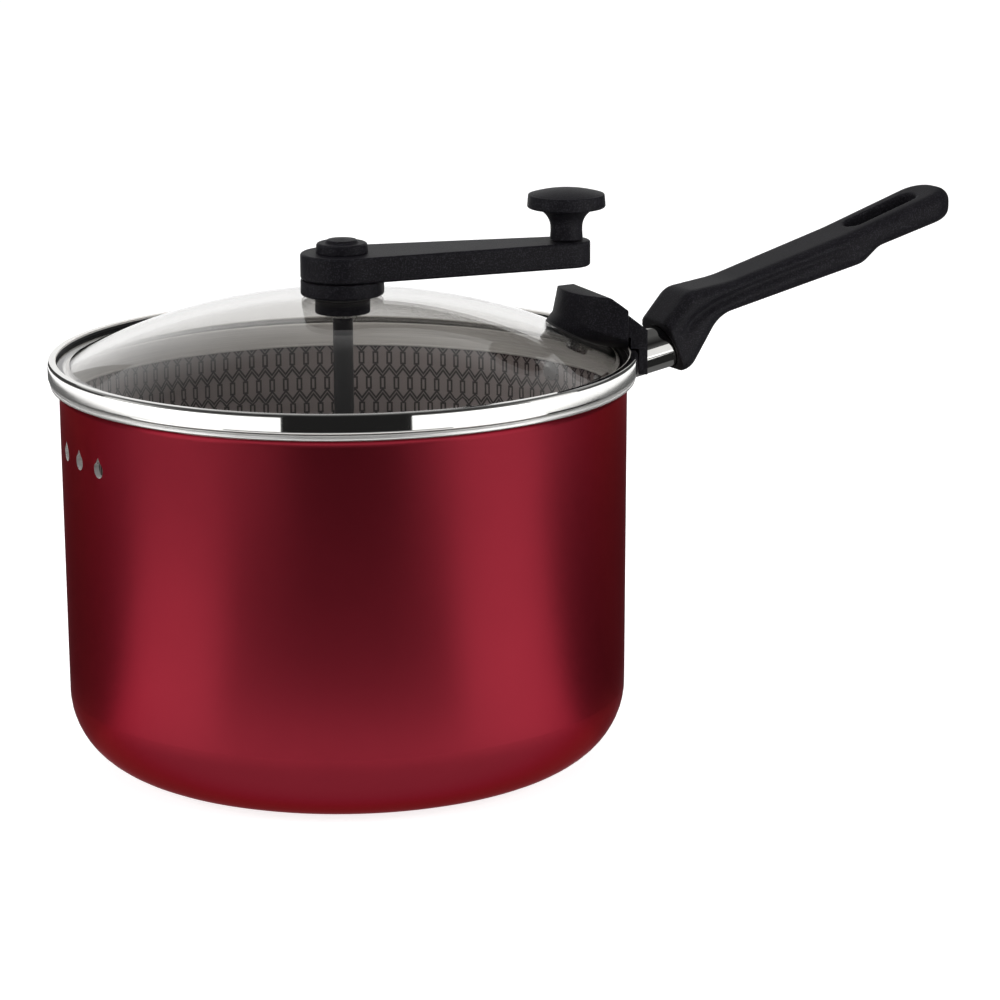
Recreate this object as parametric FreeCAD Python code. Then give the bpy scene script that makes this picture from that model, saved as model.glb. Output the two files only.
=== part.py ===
"""Stovetop popcorn popper: a covered pot whose lid carries a hand crank and a stirrer.

Millimetres, +Z up. The origin is the middle of the pot's flat underside, and +X points
along the pot's handle. Angles are in degrees, anticlockwise from +X seen from above.
"""
import FreeCAD, Part
import math, os

os.makedirs("parts", exist_ok=True)
V = FreeCAD.Vector
UP = V(0, 0, 1)
HERE = V(0, 0, 0)

# ---------------------------------------------------------------- driving dimensions
# Pot: drawn aluminium, nearly straight wall, turned-out rim lip
POT_RADIUS = 102.0            # outside of the wall, at the top
POT_TAPER = 1.0               # how much smaller that radius is at the bottom
POT_WALL = 2.0
POT_FLOOR = 2.6
POT_CORNER = 27.0             # outside radius between wall and floor
POT_HEIGHT = 141.4            # top of the lip
LIP_REACH = 3.2               # lip beyond the wall
LIP_THICK = 1.9
LIP_FILLET = 3.0              # hollow under the lip
BASE_GROOVES = 4              # turned rings under the floor
BASE_GROOVE_PITCH = 13.0
BASE_GROOVE_DEPTH = 0.5
BASE_GROOVE_HALF = 1.9

# Steam vents: a short row of teardrops opposite the handle
VENT_COUNT = 3
VENT_ANGLE = 175.6
VENT_PITCH = 8.6
VENT_HEIGHT = 119.2           # centre of the round end
VENT_RADIUS = 3.0
VENT_POINT = 4.3              # from that centre up to the point

# Lid: pressed glass dome held in a folded steel band
SEAT_GAP = 0.3                # band to lip
BAND_OVER_LIP = 0.6           # outside of the band beyond the lip
BAND_HEIGHT = 6.8
BAND_SHEET = 0.8
BAND_TOP_WIDTH = 2.9
BAND_BEAD = 0.6               # radius of the flange's rolled edge
FLANGE_DEPTH = 8.5            # locating flange inside the pot
FLANGE_CLEARANCE = 0.8        # flange to the pot's wall
GASKET_THICK = 0.8
GASKET_UNDER = 0.4
GLASS_THICK = 4.0
GLASS_EDGE_THICK = 3.6
GLASS_RISE = 23.0             # dome above the flat edge
GLASS_FLAT = 6.2              # width of the glass's flat edge round the dome

# Hub in the middle of the lid
HUB_RADIUS = 15.0             # collar of the bush, and the crank's round end
COLLAR_HEIGHT = 5.5
GROMMET_PROUD = 0.3           # rubber between the dome's top and the collar
GROMMET_UNDER = 0.8           # rubber between the glass and the washer
GROMMET_SLEEVE = 1.4
GROMMET_LIP = 12.0
SPIGOT_RADIUS = 6.6
WASHER_THICK = 0.8
NUT_RADIUS = 9.8
NUT_HEIGHT = 2.7
SHAFT_RADIUS = 3.6
RUNNING_FIT = 0.05
SLIP_FIT = 0.05               # between pieces that are fixed to one another
REST_GAP = 0.3                # between faces that turn against one another

# Crank
CRANK_ANGLE = -14.6           # where the crank stands at rest
CRANK_LENGTH = 84.0
CRANK_THICK = 9.3
CRANK_END_RADIUS = 8.7
CRANK_EDGE = 1.0
CRANK_SKIN = 3.0              # wall round the hollow underside
CRANK_RIBS = 3
CRANK_RIB_THICK = 1.8
CAP_RADIUS = 9.4
CAP_HEIGHT = 3.6
CAP_BUTTON_RADIUS = 5.4
CAP_BUTTON_RISE = 1.5
CAP_SPIGOT_RADIUS = 6.0
CAP_SPIGOT_DEPTH = 2.6
SCREW_HEAD_RADIUS = 4.4
SCREW_HEAD_HEIGHT = 2.4
SCREW_RADIUS = 1.6
SCREW_LENGTH = 9.0
SCREW_SEAT = 3.0              # below the top of the crank
DRIVE_WIDTH = 5.0             # square on top of the shaft
DRIVE_HEIGHT = 5.0

# Knob
KNOB_HEIGHT = 18.5
KNOB_FOOT_RADIUS = 6.0
KNOB_WAIST_RADIUS = 5.8
KNOB_WAIST_HEIGHT = 3.4
KNOB_FLARE = 7.2              # radius of the hollow under the disc
KNOB_DISC_RADIUS = 14.3
KNOB_DISC_HEIGHT = 7.5        # the disc with its dome
KNOB_DOME_HEIGHT = 2.1
KNOB_CAP_RADIUS = 12.6
KNOB_CAP_THICK = 1.0          # at its edge
PIN_RADIUS = 2.6
PIN_HEAD_RADIUS = 5.0
PIN_HEAD_HEIGHT = 2.0
PIN_WASHER_RADIUS = 4.6
PIN_WASHER_THICK = 0.8
PIN_END_RADIUS = 3.4
PIN_END_HEIGHT = 0.9

# Stirrer
STIRRER_WIRE = 2.0            # radius of the wire
STIRRER_FLOOR_GAP = 1.6
STIRRER_WALL_GAP = 5.0
STIRRER_RISE = 44.0           # how high the long wire's tips climb
STIRRER_BEND = 26.0
STIRRER_SHORT = 46.0          # half the length of the short wire
STIRRER_HOOK = 14.0           # how high its tips are turned up
STIRRER_HOOK_BEND = 8.0
STIRRER_BOSS_RADIUS = 7.0
STIRRER_BOSS_HEIGHT = 18.0
STIRRER_PIN_RADIUS = 1.2
CLIP_RADIUS = 5.8
CLIP_THICK = 0.8
CLIP_GROOVE = 0.6

# Latch on the lid: a shoe on the glass, and a cover whose yoke straddles the ferrule
LATCH_ANGLE = -20.0           # from the handle to the middle of the latch's round nose
LATCH_ROUND = 28.0            # radius of the nose
LATCH_LENGTH = 31.2           # nose, at the glass, inside the outside of the band
LATCH_HEIGHT = 22.3           # above the glass's flat edge
LATCH_LEAN = 4.7              # how far the nose leans outwards, going up
LATCH_SIDE = -22.7            # straight side towards the handle, measured along Y
LATCH_EDGE = 0.7
SEAM_HEIGHT = 3.3             # seam between shoe and cover, above the glass at the nose
SEAM_SLOPE = 16.0             # it falls outwards
SHOE_ROUND = 14.0             # radius of the shoe's narrow foot
SHOE_NOSE = 2.7               # how far that foot reaches in front of the seam
SHOE_DEPTH = 6.0              # below the seam, square to it
LATCH_PAD = 0.8
LATCH_SKIN = 2.8
RAMP_ANGLE = -7.0             # the thumb ramp faces this way
RAMP_LENGTH = 20.5            # from the ramp's top to the outside of the band
RAMP_SLOPE = 40.5
RAMP_FLOOR = 3.6              # left over the band
TONGUE_ANGLE = -30.0          # where the cover starts to cross the band
TONGUE_END_ANGLE = 8.5
YOKE_THICK = 3.1              # skirt of the yoke outside the band
YOKE_CLEARANCE = 0.5
YOKE_DROP = 2.4               # skirt below the band
LATCH_SCREW_RADIUS = 2.0
LATCH_SCREW_INSET = 10.0      # from the screw to the edge of the dome
LATCH_SCREW_LENGTH = 14.0
LATCH_POST_RADIUS = 5.0       # post inside the cover that takes the screw
LATCH_HEAD_RADIUS = 4.0
LATCH_WASHER_RADIUS = 5.6
LATCH_WASHER_THICK = 1.1
LATCH_BAND_GAP = 0.5          # latch to the band's inner edge
TONGUE_LAP = 3.0              # how far the tongue reaches into the latch's back

# Handle
BRACKET_THICK = 2.2
BRACKET_SPREAD = 14.5         # half of the angle that it covers
BRACKET_HEIGHT = 16.4
BRACKET_TOP_GAP = 0.1         # under the lip's hollow
RIVET_ANGLE = 9.5
RIVET_GAP = 0.4               # heads below the lid's flange
RIVET_RADIUS = 2.4
RIVET_HEAD_RADIUS = 3.6
RIVET_HEAD_HEIGHT = 1.9
RIVET_TAIL_HEIGHT = 1.3
FERRULE_RADIUS = 8.4
FERRULE_WALL = 0.9
FERRULE_SLOPE = 9.0
FERRULE_GAP = 4.5             # from the pot's wall to the ferrule's foot
FERRULE_RISE = 2.8            # its foot above the bracket's middle
FERRULE_LENGTH = 36.0
STUB_LENGTH = 14.0
TANG_RADIUS = 4.0
TANG_LENGTH = 8.5             # beyond the ferrule
MOUTH_REACH = 30.7            # from the ferrule's foot to the grip's mouth, level
MOUTH_TILT = 22.0
HEEL_DROP = 8.9               # heel below the mouth's middle
HEEL_ROUND = 8.0
NECK_UNDER_SLOPE = 56.6
NECK_TOP_SLOPE = 47.2
SHOULDER_REACH = 6.1          # shoulder beyond the mouth, level
SHOULDER_RISE = 21.2          # and above its middle
BACK_REACH = 20.9             # shoulder's flat back, then the palm
BACK_SLOPE = 6.2
PALM_SLOPE = 14.2
PALM_START = 20.4             # from the mouth to the start of the palm, level
PALM_UNDER = 10.8             # underside there, above the mouth's middle
PALM_UNDER_SLOPE = 11.8
PALM_LENGTH = 65.6
FINGER_RUN = 7.4
FINGER_STEP = 5.9
GRIP_REACH = 129.6            # mouth to tip, level
TAIL_START = 80.0             # from the mouth to where the back rises more
TAIL_RISE = 2.4               # steeper by this
TAIL_ROUND = 180.0
PALM_ROUND = 14.0
FINGER_ROUND = 10.0
GRIP_HALF_NECK = 9.9
GRIP_HALF_TIP = 12.7
TIP_ROUND = 10.8
GRIP_BACK = 30.0              # the taper is counted from here, before the mouth
GRIP_ROUND = 4.4
SHOULDER_ROUND = 9.0
BACK_ROUND = 60.0
SLOT_LENGTH = 32.0
SLOT_HALF_WIDTH = 4.6
SLOT_END = 13.0               # from the slot to the tip
GRIP_SCREW_RADIUS = 1.6
GRIP_SCREW_HEAD = 2.4
GRIP_SCREW_HEAD_HEIGHT = 1.5
GRIP_SCREW_SUNK = 0.3
GRIP_SCREW_REACH = 8.6        # from the mouth, level

# ---------------------------------------------------------------- derived sizes
LIP_RADIUS = POT_RADIUS + LIP_REACH
LIP_UNDER = POT_HEIGHT - LIP_THICK
BAND_RADIUS = LIP_RADIUS + BAND_OVER_LIP
INNER_RADIUS = POT_RADIUS - POT_WALL
FOOT_RADIUS = POT_RADIUS - POT_TAPER
BAND_FOOT = POT_HEIGHT + SEAT_GAP
BAND_TOP = BAND_FOOT + BAND_HEIGHT
BAND_INNER = BAND_RADIUS - BAND_SHEET
BAND_MOUTH = BAND_RADIUS - BAND_TOP_WIDTH
FLANGE_RADIUS = INNER_RADIUS - FLANGE_CLEARANCE
LATCH_OUTER = BAND_MOUTH - LATCH_BAND_GAP
GLASS_EDGE_RADIUS = BAND_INNER - GASKET_THICK
DOME_RADIUS = GLASS_EDGE_RADIUS - GLASS_FLAT
EDGE_UNDER = BAND_FOOT + BAND_SHEET + GASKET_UNDER
EDGE_TOP = EDGE_UNDER + GLASS_EDGE_THICK
DOME_TOP = EDGE_TOP + GLASS_RISE
DOME_SPHERE = (DOME_RADIUS**2 + GLASS_RISE**2) / (2 * GLASS_RISE)
GLASS_UNDER = DOME_TOP - GLASS_THICK
GLASS_HOLE = SPIGOT_RADIUS + SLIP_FIT + GROMMET_SLEEVE + SLIP_FIT
COLLAR_FOOT = DOME_TOP + GROMMET_PROUD
COLLAR_TOP = COLLAR_FOOT + COLLAR_HEIGHT
WASHER_TOP = GLASS_UNDER - GROMMET_UNDER
NUT_TOP = WASHER_TOP - WASHER_THICK
NUT_FOOT = NUT_TOP - NUT_HEIGHT
CLIP_TOP = NUT_FOOT - REST_GAP
CRANK_FOOT = COLLAR_TOP + REST_GAP
CRANK_TOP = CRANK_FOOT + CRANK_THICK
DRIVE_TOP = CRANK_FOOT + DRIVE_HEIGHT
KNOB_FOOT = CRANK_TOP + REST_GAP
KNOB_TOP = KNOB_FOOT + KNOB_HEIGHT
KNOB_EDGE = KNOB_TOP - KNOB_DOME_HEIGHT
KNOB_SEAT = KNOB_EDGE - KNOB_CAP_THICK
ABOVE_ALL = 2 * KNOB_TOP
PIN_END = KNOB_SEAT - REST_GAP
PIN_WASHER_FOOT = PIN_END - PIN_END_HEIGHT - PIN_WASHER_THICK
LATCH_REACH = BAND_RADIUS - LATCH_LENGTH
LATCH_TOP = EDGE_TOP + LATCH_HEIGHT
LATCH_SCREW_REACH = DOME_RADIUS - LATCH_SCREW_INSET
RAMP_START = BAND_RADIUS - RAMP_LENGTH
YOKE_RADIUS = BAND_RADIUS + YOKE_CLEARANCE + YOKE_THICK
YOKE_FOOT = BAND_FOOT - YOKE_DROP
FERRULE_START = POT_RADIUS + FERRULE_GAP
BRACKET_TOP = LIP_UNDER - LIP_FILLET - BRACKET_TOP_GAP
BRACKET_FOOT = BRACKET_TOP - BRACKET_HEIGHT
BRACKET_MIDDLE = BRACKET_TOP - BRACKET_HEIGHT / 2
RIVET_LEVEL = BAND_FOOT - FLANGE_DEPTH - BAND_BEAD - RIVET_GAP - RIVET_HEAD_RADIUS
BRACKET_INNER = POT_RADIUS + SLIP_FIT
BRACKET_OUTER = BRACKET_INNER + BRACKET_THICK
FERRULE_DIRECTION = V(math.cos(math.radians(FERRULE_SLOPE)), 0,
                      math.sin(math.radians(FERRULE_SLOPE)))
FERRULE_FOOT = V(FERRULE_START, 0, BRACKET_MIDDLE + FERRULE_RISE)
MOUTH = FERRULE_FOOT + FERRULE_DIRECTION * (MOUTH_REACH / FERRULE_DIRECTION.x)
TIP = MOUTH.x + GRIP_REACH
FLOOR_LEVEL = POT_FLOOR + STIRRER_FLOOR_GAP + STIRRER_WIRE
SHORT_LEVEL = FLOOR_LEVEL + 2 * STIRRER_WIRE + 0.4
BOSS_FOOT = POT_FLOOR + STIRRER_FLOOR_GAP
BOSS_TOP = BOSS_FOOT + STIRRER_BOSS_HEIGHT
SHAFT_FOOT = SHORT_LEVEL + STIRRER_WIRE + 0.6


# ---------------------------------------------------------------- small helpers
def outline(corners, plane="xz", closed=True):
    """Wire through corners (a, b, rounding); every rounding is a tangent arc."""
    def place(a, b):
        return V(a, 0, b) if plane == "xz" else V(a, b, 0)

    count = len(corners)
    starts, ends, middles = [], [], []
    for index, (a, b, radius) in enumerate(corners):
        here = place(a, b)
        if radius == 0 or (not closed and index in (0, count - 1)):
            starts.append(here)
            ends.append(here)
            middles.append(None)
            continue
        before = place(*corners[index - 1][:2]) - here
        after = place(*corners[(index + 1) % count][:2]) - here
        before.normalize()
        after.normalize()
        half = before.getAngle(after) / 2
        cut = radius / math.tan(half)
        bisector = before + after
        bisector.normalize()
        starts.append(here + before * cut)
        ends.append(here + after * cut)
        middles.append(here + bisector * (radius / math.sin(half) - radius))
    edges = []
    for index in range(count):
        if middles[index] is not None:
            edges.append(Part.Arc(starts[index], middles[index], ends[index]).toShape())
        if index == count - 1 and not closed:
            break
        following = (index + 1) % count
        if ends[index].distanceToPoint(starts[following]) > 1e-6:
            edges.append(Part.LineSegment(ends[index], starts[following]).toShape())
    return Part.Wire(edges)


def turned(corners):
    """Solid of revolution about Z from a closed outline of (radius, height, rounding)."""
    return Part.Face(outline(corners)).revolve(HERE, UP, 360)


def slab(corners, bottom, top):
    """Upright prism from a plan outline of (x, y, rounding)."""
    face = Part.Face(outline(corners, plane="xy"))
    face.translate(V(0, 0, bottom))
    return face.extrude(V(0, 0, top - bottom))


def rod(radius, bottom, top, x=0.0, y=0.0):
    return Part.makeCylinder(radius, top - bottom, V(x, y, bottom), UP)


def tube(outer, inner, bottom, top):
    return rod(outer, bottom, top).cut(rod(inner, bottom - 1, top + 1))


def block(x0, x1, y0, y1, z0, z1):
    return Part.makeBox(x1 - x0, y1 - y0, z1 - z0, V(x0, y0, z0))


def turn(shape, angle, axis=UP):
    """A copy of the shape, turned about an axis through the origin."""
    copy = shape.copy()
    copy.rotate(HERE, axis, angle)
    return copy


def tangent(degrees):
    return math.tan(math.radians(degrees))


def glass_level(reach):
    """Height of the dome's outer surface at a distance from the axis."""
    return DOME_TOP - DOME_SPHERE + math.sqrt(DOME_SPHERE**2 - reach**2)


def dome_ball(offset=0.0):
    """The ball whose top is the dome's outer surface, or one parallel to it."""
    return Part.makeSphere(DOME_SPHERE + offset, V(0, 0, DOME_TOP - DOME_SPHERE))


def rounded(shape, radius, wanted):
    """Fillet every edge that the test picks."""
    return shape.makeFillet(radius, [edge for edge in shape.Edges if wanted(edge)])


def save(name, shape):
    shape.exportStep("parts/" + name + ".step")


# ---------------------------------------------------------------- pot
def vent_cutter(angle):
    """Teardrop prism through the wall: round below, hollow shoulders, a point above."""
    shoulder = math.radians(32)
    left = V(0, -VENT_RADIUS * math.cos(shoulder), VENT_RADIUS * math.sin(shoulder))
    right = V(0, -left.y, left.z)
    point = V(0, 0, VENT_POINT)
    bow = V(0, left.y * 0.42, (left.z + VENT_POINT) / 2 - 0.1)
    edges = [
        Part.Arc(left, V(0, 0, -VENT_RADIUS), right).toShape(),
        Part.Arc(right, V(0, -bow.y, bow.z), point).toShape(),
        Part.Arc(point, bow, left).toShape(),
    ]
    cutter = Part.Face(Part.Wire(edges)).extrude(V(4 * POT_WALL, 0, 0))
    cutter.translate(V(INNER_RADIUS - 2 * POT_WALL, 0, VENT_HEIGHT))
    return turn(cutter, angle)


def rivet_hole(side):
    hole = Part.makeCylinder(RIVET_RADIUS + SLIP_FIT, 8 * POT_WALL,
                             V(INNER_RADIUS - 2 * POT_WALL, 0, RIVET_LEVEL), V(1, 0, 0))
    return turn(hole, side * RIVET_ANGLE)


def make_pot():
    body = turned([
        (0, 0, 0),
        (FOOT_RADIUS, 0, POT_CORNER),
        (POT_RADIUS, LIP_UNDER, LIP_FILLET),
        (LIP_RADIUS, LIP_UNDER, 0.8),
        (LIP_RADIUS, POT_HEIGHT, 0.8),
        (INNER_RADIUS, POT_HEIGHT, 1.0),
        (FOOT_RADIUS - POT_WALL, POT_FLOOR, POT_CORNER - POT_WALL),
        (0, POT_FLOOR, 0),
    ])
    for ring in range(BASE_GROOVES):
        middle = BASE_GROOVE_PITCH * (ring + 1)
        body = body.cut(turned([
            (middle - BASE_GROOVE_HALF - 0.6, -1, 0),
            (middle + BASE_GROOVE_HALF + 0.6, -1, 0),
            (middle + BASE_GROOVE_HALF, BASE_GROOVE_DEPTH, 0),
            (middle - BASE_GROOVE_HALF, BASE_GROOVE_DEPTH, 0),
        ]))
    for index in range(VENT_COUNT):
        offset = (index - (VENT_COUNT - 1) / 2) * VENT_PITCH
        body = body.cut(vent_cutter(VENT_ANGLE + offset))
    for side in (-1, 1):
        body = body.cut(rivet_hole(side))
    return body


# ---------------------------------------------------------------- handle
def along_ferrule(radius, start, end):
    """Cylinder on the ferrule's axis, between two distances from its foot."""
    return Part.makeCylinder(radius, end - start, FERRULE_FOOT + FERRULE_DIRECTION * start,
                             FERRULE_DIRECTION)


def make_bracket():
    """Pressed plate that hugs the wall, with a stub that the ferrule slips over."""
    plate = tube(BRACKET_OUTER, BRACKET_INNER, BRACKET_FOOT, BRACKET_TOP)
    reach = BRACKET_OUTER * math.sin(math.radians(BRACKET_SPREAD))
    window = Part.Face(outline([
        (-reach, BRACKET_FOOT, 5),
        (reach, BRACKET_FOOT, 5),
        (reach, BRACKET_TOP, 5),
        (-reach, BRACKET_TOP, 5),
    ])).extrude(V(0, -2 * BRACKET_OUTER, 0))
    plate = plate.common(turn(window, 90))
    stub = along_ferrule(FERRULE_RADIUS - FERRULE_WALL - SLIP_FIT, -5, STUB_LENGTH)
    stub = stub.cut(rod(BRACKET_INNER, 0, POT_HEIGHT))
    bracket = plate.fuse(stub).removeSplitter()
    bracket = bracket.cut(along_ferrule(TANG_RADIUS + SLIP_FIT, 2, STUB_LENGTH + 1))
    bracket = bracket.cut(rod(BRACKET_OUTER, BRACKET_TOP, POT_HEIGHT))
    for side in (-1, 1):
        bracket = bracket.cut(rivet_hole(side))
    return bracket


def make_rivets():
    """Two rivets: a domed head inside the pot, a shank, and a low tail on the bracket."""
    inner = INNER_RADIUS - RIVET_HEAD_RADIUS**2 / (2 * INNER_RADIUS) - 0.2
    tail = BRACKET_OUTER
    rivets = []
    for side in (-1, 1):
        section = outline([
            (0, inner - RIVET_HEAD_HEIGHT, 0),
            (RIVET_HEAD_RADIUS * 0.6, inner - RIVET_HEAD_HEIGHT, 1.4),
            (RIVET_HEAD_RADIUS, inner - 0.9, 0.4),
            (RIVET_HEAD_RADIUS, inner, 0),
            (RIVET_RADIUS, inner, 0),
            (RIVET_RADIUS, tail, 0),
            (RIVET_RADIUS + 1.6, tail, 0),
            (RIVET_RADIUS + 0.8, tail + RIVET_TAIL_HEIGHT, 0.4),
            (0, tail + RIVET_TAIL_HEIGHT, 0),
        ])
        rivet = Part.Face(section).revolve(HERE, UP, 360)
        rivet.rotate(HERE, V(0, 1, 0), 90)
        rivet.translate(V(0, 0, RIVET_LEVEL))
        rivets.append(turn(rivet, side * RIVET_ANGLE))
    return Part.makeCompound(rivets)


def make_ferrule():
    """Polished steel sleeve between bracket and grip, its pot end rolled in a little."""
    sleeve = along_ferrule(FERRULE_RADIUS, 0, FERRULE_LENGTH)
    sleeve = rounded(sleeve, 0.5, lambda edge: edge.BoundBox.XMax < FERRULE_START + 6)
    return sleeve.cut(along_ferrule(FERRULE_RADIUS - FERRULE_WALL, -1, FERRULE_LENGTH + 1))


def grip_screw_place():
    """Where the screw's axis crosses the tang's axis."""
    reach = MOUTH_REACH + GRIP_SCREW_REACH
    return FERRULE_FOOT + FERRULE_DIRECTION * (reach / FERRULE_DIRECTION.x)


def make_tang():
    """Steel rod from the bracket's stub, through the ferrule, into the grip."""
    tang = along_ferrule(TANG_RADIUS, 2.5, FERRULE_LENGTH + TANG_LENGTH)
    place = grip_screw_place()
    return tang.cut(rod(GRIP_SCREW_RADIUS, place.z - 20, place.z + 1, place.x))


def make_grip_screw():
    """Short screw up through the heel of the grip into the tang."""
    place = grip_screw_place()
    bottom = MOUTH.z - HEEL_DROP + GRIP_SCREW_SUNK
    seat = bottom + GRIP_SCREW_HEAD_HEIGHT
    head = rod(GRIP_SCREW_HEAD, bottom, seat, place.x)
    head = head.cut(block(place.x - 4, place.x + 4, -0.4, 0.4, bottom - 1, bottom + 0.7))
    shank = rod(GRIP_SCREW_RADIUS - SLIP_FIT, seat, place.z + 0.8, place.x)
    return head.fuse(shank).removeSplitter()


def grip_side():
    """Side view of the grip: heel, neck, palm, finger step, tip, back, shoulder."""
    x, z = MOUTH.x, MOUTH.z
    start = x - HEEL_ROUND
    end = TIP + HEEL_ROUND
    palm_x = x + PALM_START
    palm_z = z + PALM_UNDER
    heel_x = palm_x - (PALM_UNDER + HEEL_DROP) / tangent(NECK_UNDER_SLOPE)
    step_x = palm_x + PALM_LENGTH
    step_z = palm_z + PALM_LENGTH * tangent(PALM_UNDER_SLOPE)
    run_x = step_x + FINGER_RUN
    run_z = step_z + FINGER_STEP
    shoulder_x = x + SHOULDER_REACH
    shoulder_z = z + SHOULDER_RISE
    back_x = shoulder_x + BACK_REACH
    back_z = shoulder_z + BACK_REACH * tangent(BACK_SLOPE)
    tail_x = x + TAIL_START
    tail_z = back_z + (tail_x - back_x) * tangent(PALM_SLOPE)
    return outline([
        (start, z - HEEL_DROP, 0),
        (heel_x, z - HEEL_DROP, HEEL_ROUND),
        (palm_x, palm_z, PALM_ROUND),
        (step_x, step_z, FINGER_ROUND),
        (run_x, run_z, FINGER_ROUND),
        (end, run_z + (end - run_x) * tangent(PALM_SLOPE), 0),
        (end, tail_z + (end - tail_x) * tangent(PALM_SLOPE + TAIL_RISE), 0),
        (tail_x, tail_z, TAIL_ROUND),
        (back_x, back_z, BACK_ROUND),
        (shoulder_x, shoulder_z, SHOULDER_ROUND),
        (start, shoulder_z - (shoulder_x - start) * tangent(NECK_TOP_SLOPE), 0),
    ])


def make_grip():
    """Moulded grip: side view crossed with plan view, rounded, bored and slotted."""
    half = GRIP_HALF_TIP + 4
    face = Part.Face(grip_side())
    face.translate(V(0, half, 0))
    body = face.extrude(V(0, -2 * half, 0))
    back = MOUTH.x - GRIP_BACK
    plan = slab([
        (back, -GRIP_HALF_NECK, 0),
        (TIP, -GRIP_HALF_TIP, TIP_ROUND),
        (TIP, GRIP_HALF_TIP, TIP_ROUND),
        (back, GRIP_HALF_NECK, 0),
    ], 0, ABOVE_ALL)
    body = body.common(plan)

    def along_the_side(edge):
        middle = edge.valueAt((edge.FirstParameter + edge.LastParameter) / 2)
        size = edge.BoundBox
        outer = abs(middle.y) > GRIP_HALF_NECK - 1 or middle.x > TIP - SLOT_END + 1
        upright = size.XLength < 0.01 + 0.3 * size.ZLength and size.YLength < 0.5
        cross = size.YLength > 2 * GRIP_HALF_NECK - 2
        return outer and not upright and not cross

    body = rounded(body, GRIP_ROUND, along_the_side)
    room = MOUTH.x
    mouth_cut = Part.makeBox(room, room, room, V(-room, -room / 2, -room / 2))
    mouth_cut.rotate(HERE, V(0, 1, 0), -MOUTH_TILT)
    mouth_cut.translate(MOUTH)
    body = body.cut(mouth_cut)
    slot_x = TIP - SLOT_END
    body = body.cut(slab([
        (slot_x - SLOT_LENGTH, -SLOT_HALF_WIDTH, SLOT_HALF_WIDTH - 0.1),
        (slot_x, -SLOT_HALF_WIDTH, SLOT_HALF_WIDTH - 0.1),
        (slot_x, SLOT_HALF_WIDTH, SLOT_HALF_WIDTH - 0.1),
        (slot_x - SLOT_LENGTH, SLOT_HALF_WIDTH, SLOT_HALF_WIDTH - 0.1),
    ], 0, ABOVE_ALL))
    place = grip_screw_place()
    for cutter in (
        along_ferrule(FERRULE_RADIUS + SLIP_FIT, 0, FERRULE_LENGTH),
        along_ferrule(TANG_RADIUS + SLIP_FIT, 0, FERRULE_LENGTH + TANG_LENGTH + 0.3),
        rod(GRIP_SCREW_RADIUS + SLIP_FIT, place.z - 20, place.z + 1.5, place.x),
        rod(GRIP_SCREW_HEAD + 0.2, place.z - 20,
            MOUTH.z - HEEL_DROP + GRIP_SCREW_SUNK + GRIP_SCREW_HEAD_HEIGHT, place.x),
    ):
        body = body.cut(cutter)
    return body


# ---------------------------------------------------------------- lid
def make_glass():
    """Shallow spherical dome with a flat edge and a hole for the hub and the latch."""
    dome = dome_ball().common(rod(DOME_RADIUS, EDGE_UNDER, DOME_TOP + 1))
    edge = tube(GLASS_EDGE_RADIUS, DOME_RADIUS - 1, EDGE_UNDER, EDGE_TOP)
    glass = dome.fuse(edge).cut(dome_ball(-GLASS_THICK)).removeSplitter()
    glass = glass.cut(rod(GLASS_HOLE, GLASS_UNDER - 5, DOME_TOP + 5))
    return glass.cut(on_latch_screw(rod(LATCH_SCREW_RADIUS + 0.5, -GLASS_THICK - 3, 3)))


def make_band():
    """Folded steel channel round the glass, with a rolled flange inside the pot."""
    inner = FLANGE_RADIUS - BAND_SHEET
    foot = BAND_FOOT - FLANGE_DEPTH
    channel = turned([
        (inner, foot, 0),
        (FLANGE_RADIUS, foot, 0),
        (FLANGE_RADIUS, BAND_FOOT, 0.5),
        (BAND_RADIUS, BAND_FOOT, 0.9),
        (BAND_RADIUS, BAND_TOP, 1.0),
        (BAND_MOUTH, BAND_TOP, 0.3),
        (BAND_MOUTH, BAND_TOP - BAND_SHEET, 0),
        (BAND_INNER, BAND_TOP - BAND_SHEET, 0.3),
        (BAND_INNER, BAND_FOOT + BAND_SHEET, 0.3),
        (inner, BAND_FOOT + BAND_SHEET, 0.9),
    ])
    bead = Part.makeTorus(FLANGE_RADIUS - BAND_SHEET / 2, BAND_BEAD, V(0, 0, foot), UP)
    return channel.fuse(bead).removeSplitter()


def make_gasket():
    """Rubber channel between the glass edge and the band."""
    outer = BAND_INNER - SLIP_FIT
    edge = GLASS_EDGE_RADIUS + SLIP_FIT
    inner = INNER_RADIUS + 0.5
    mouth = BAND_MOUTH + 0.4
    return turned([
        (inner, BAND_FOOT + BAND_SHEET, 0),
        (outer, BAND_FOOT + BAND_SHEET, 0.3),
        (outer, BAND_TOP - BAND_SHEET, 0.3),
        (mouth, BAND_TOP - BAND_SHEET, 0),
        (mouth, EDGE_TOP, 0),
        (edge, EDGE_TOP, 0),
        (edge, EDGE_UNDER, 0),
        (inner, EDGE_UNDER, 0),
    ])


def make_bush():
    """Collar over the glass and a spigot through it; the shaft runs in its bore."""
    bore = SHAFT_RADIUS + RUNNING_FIT
    return turned([
        (bore, NUT_FOOT, 0),
        (SPIGOT_RADIUS, NUT_FOOT, 0.4),
        (SPIGOT_RADIUS, COLLAR_FOOT, 0),
        (HUB_RADIUS, COLLAR_FOOT, 0.9),
        (HUB_RADIUS, COLLAR_TOP, 0.5),
        (bore, COLLAR_TOP, 0),
    ])


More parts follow.
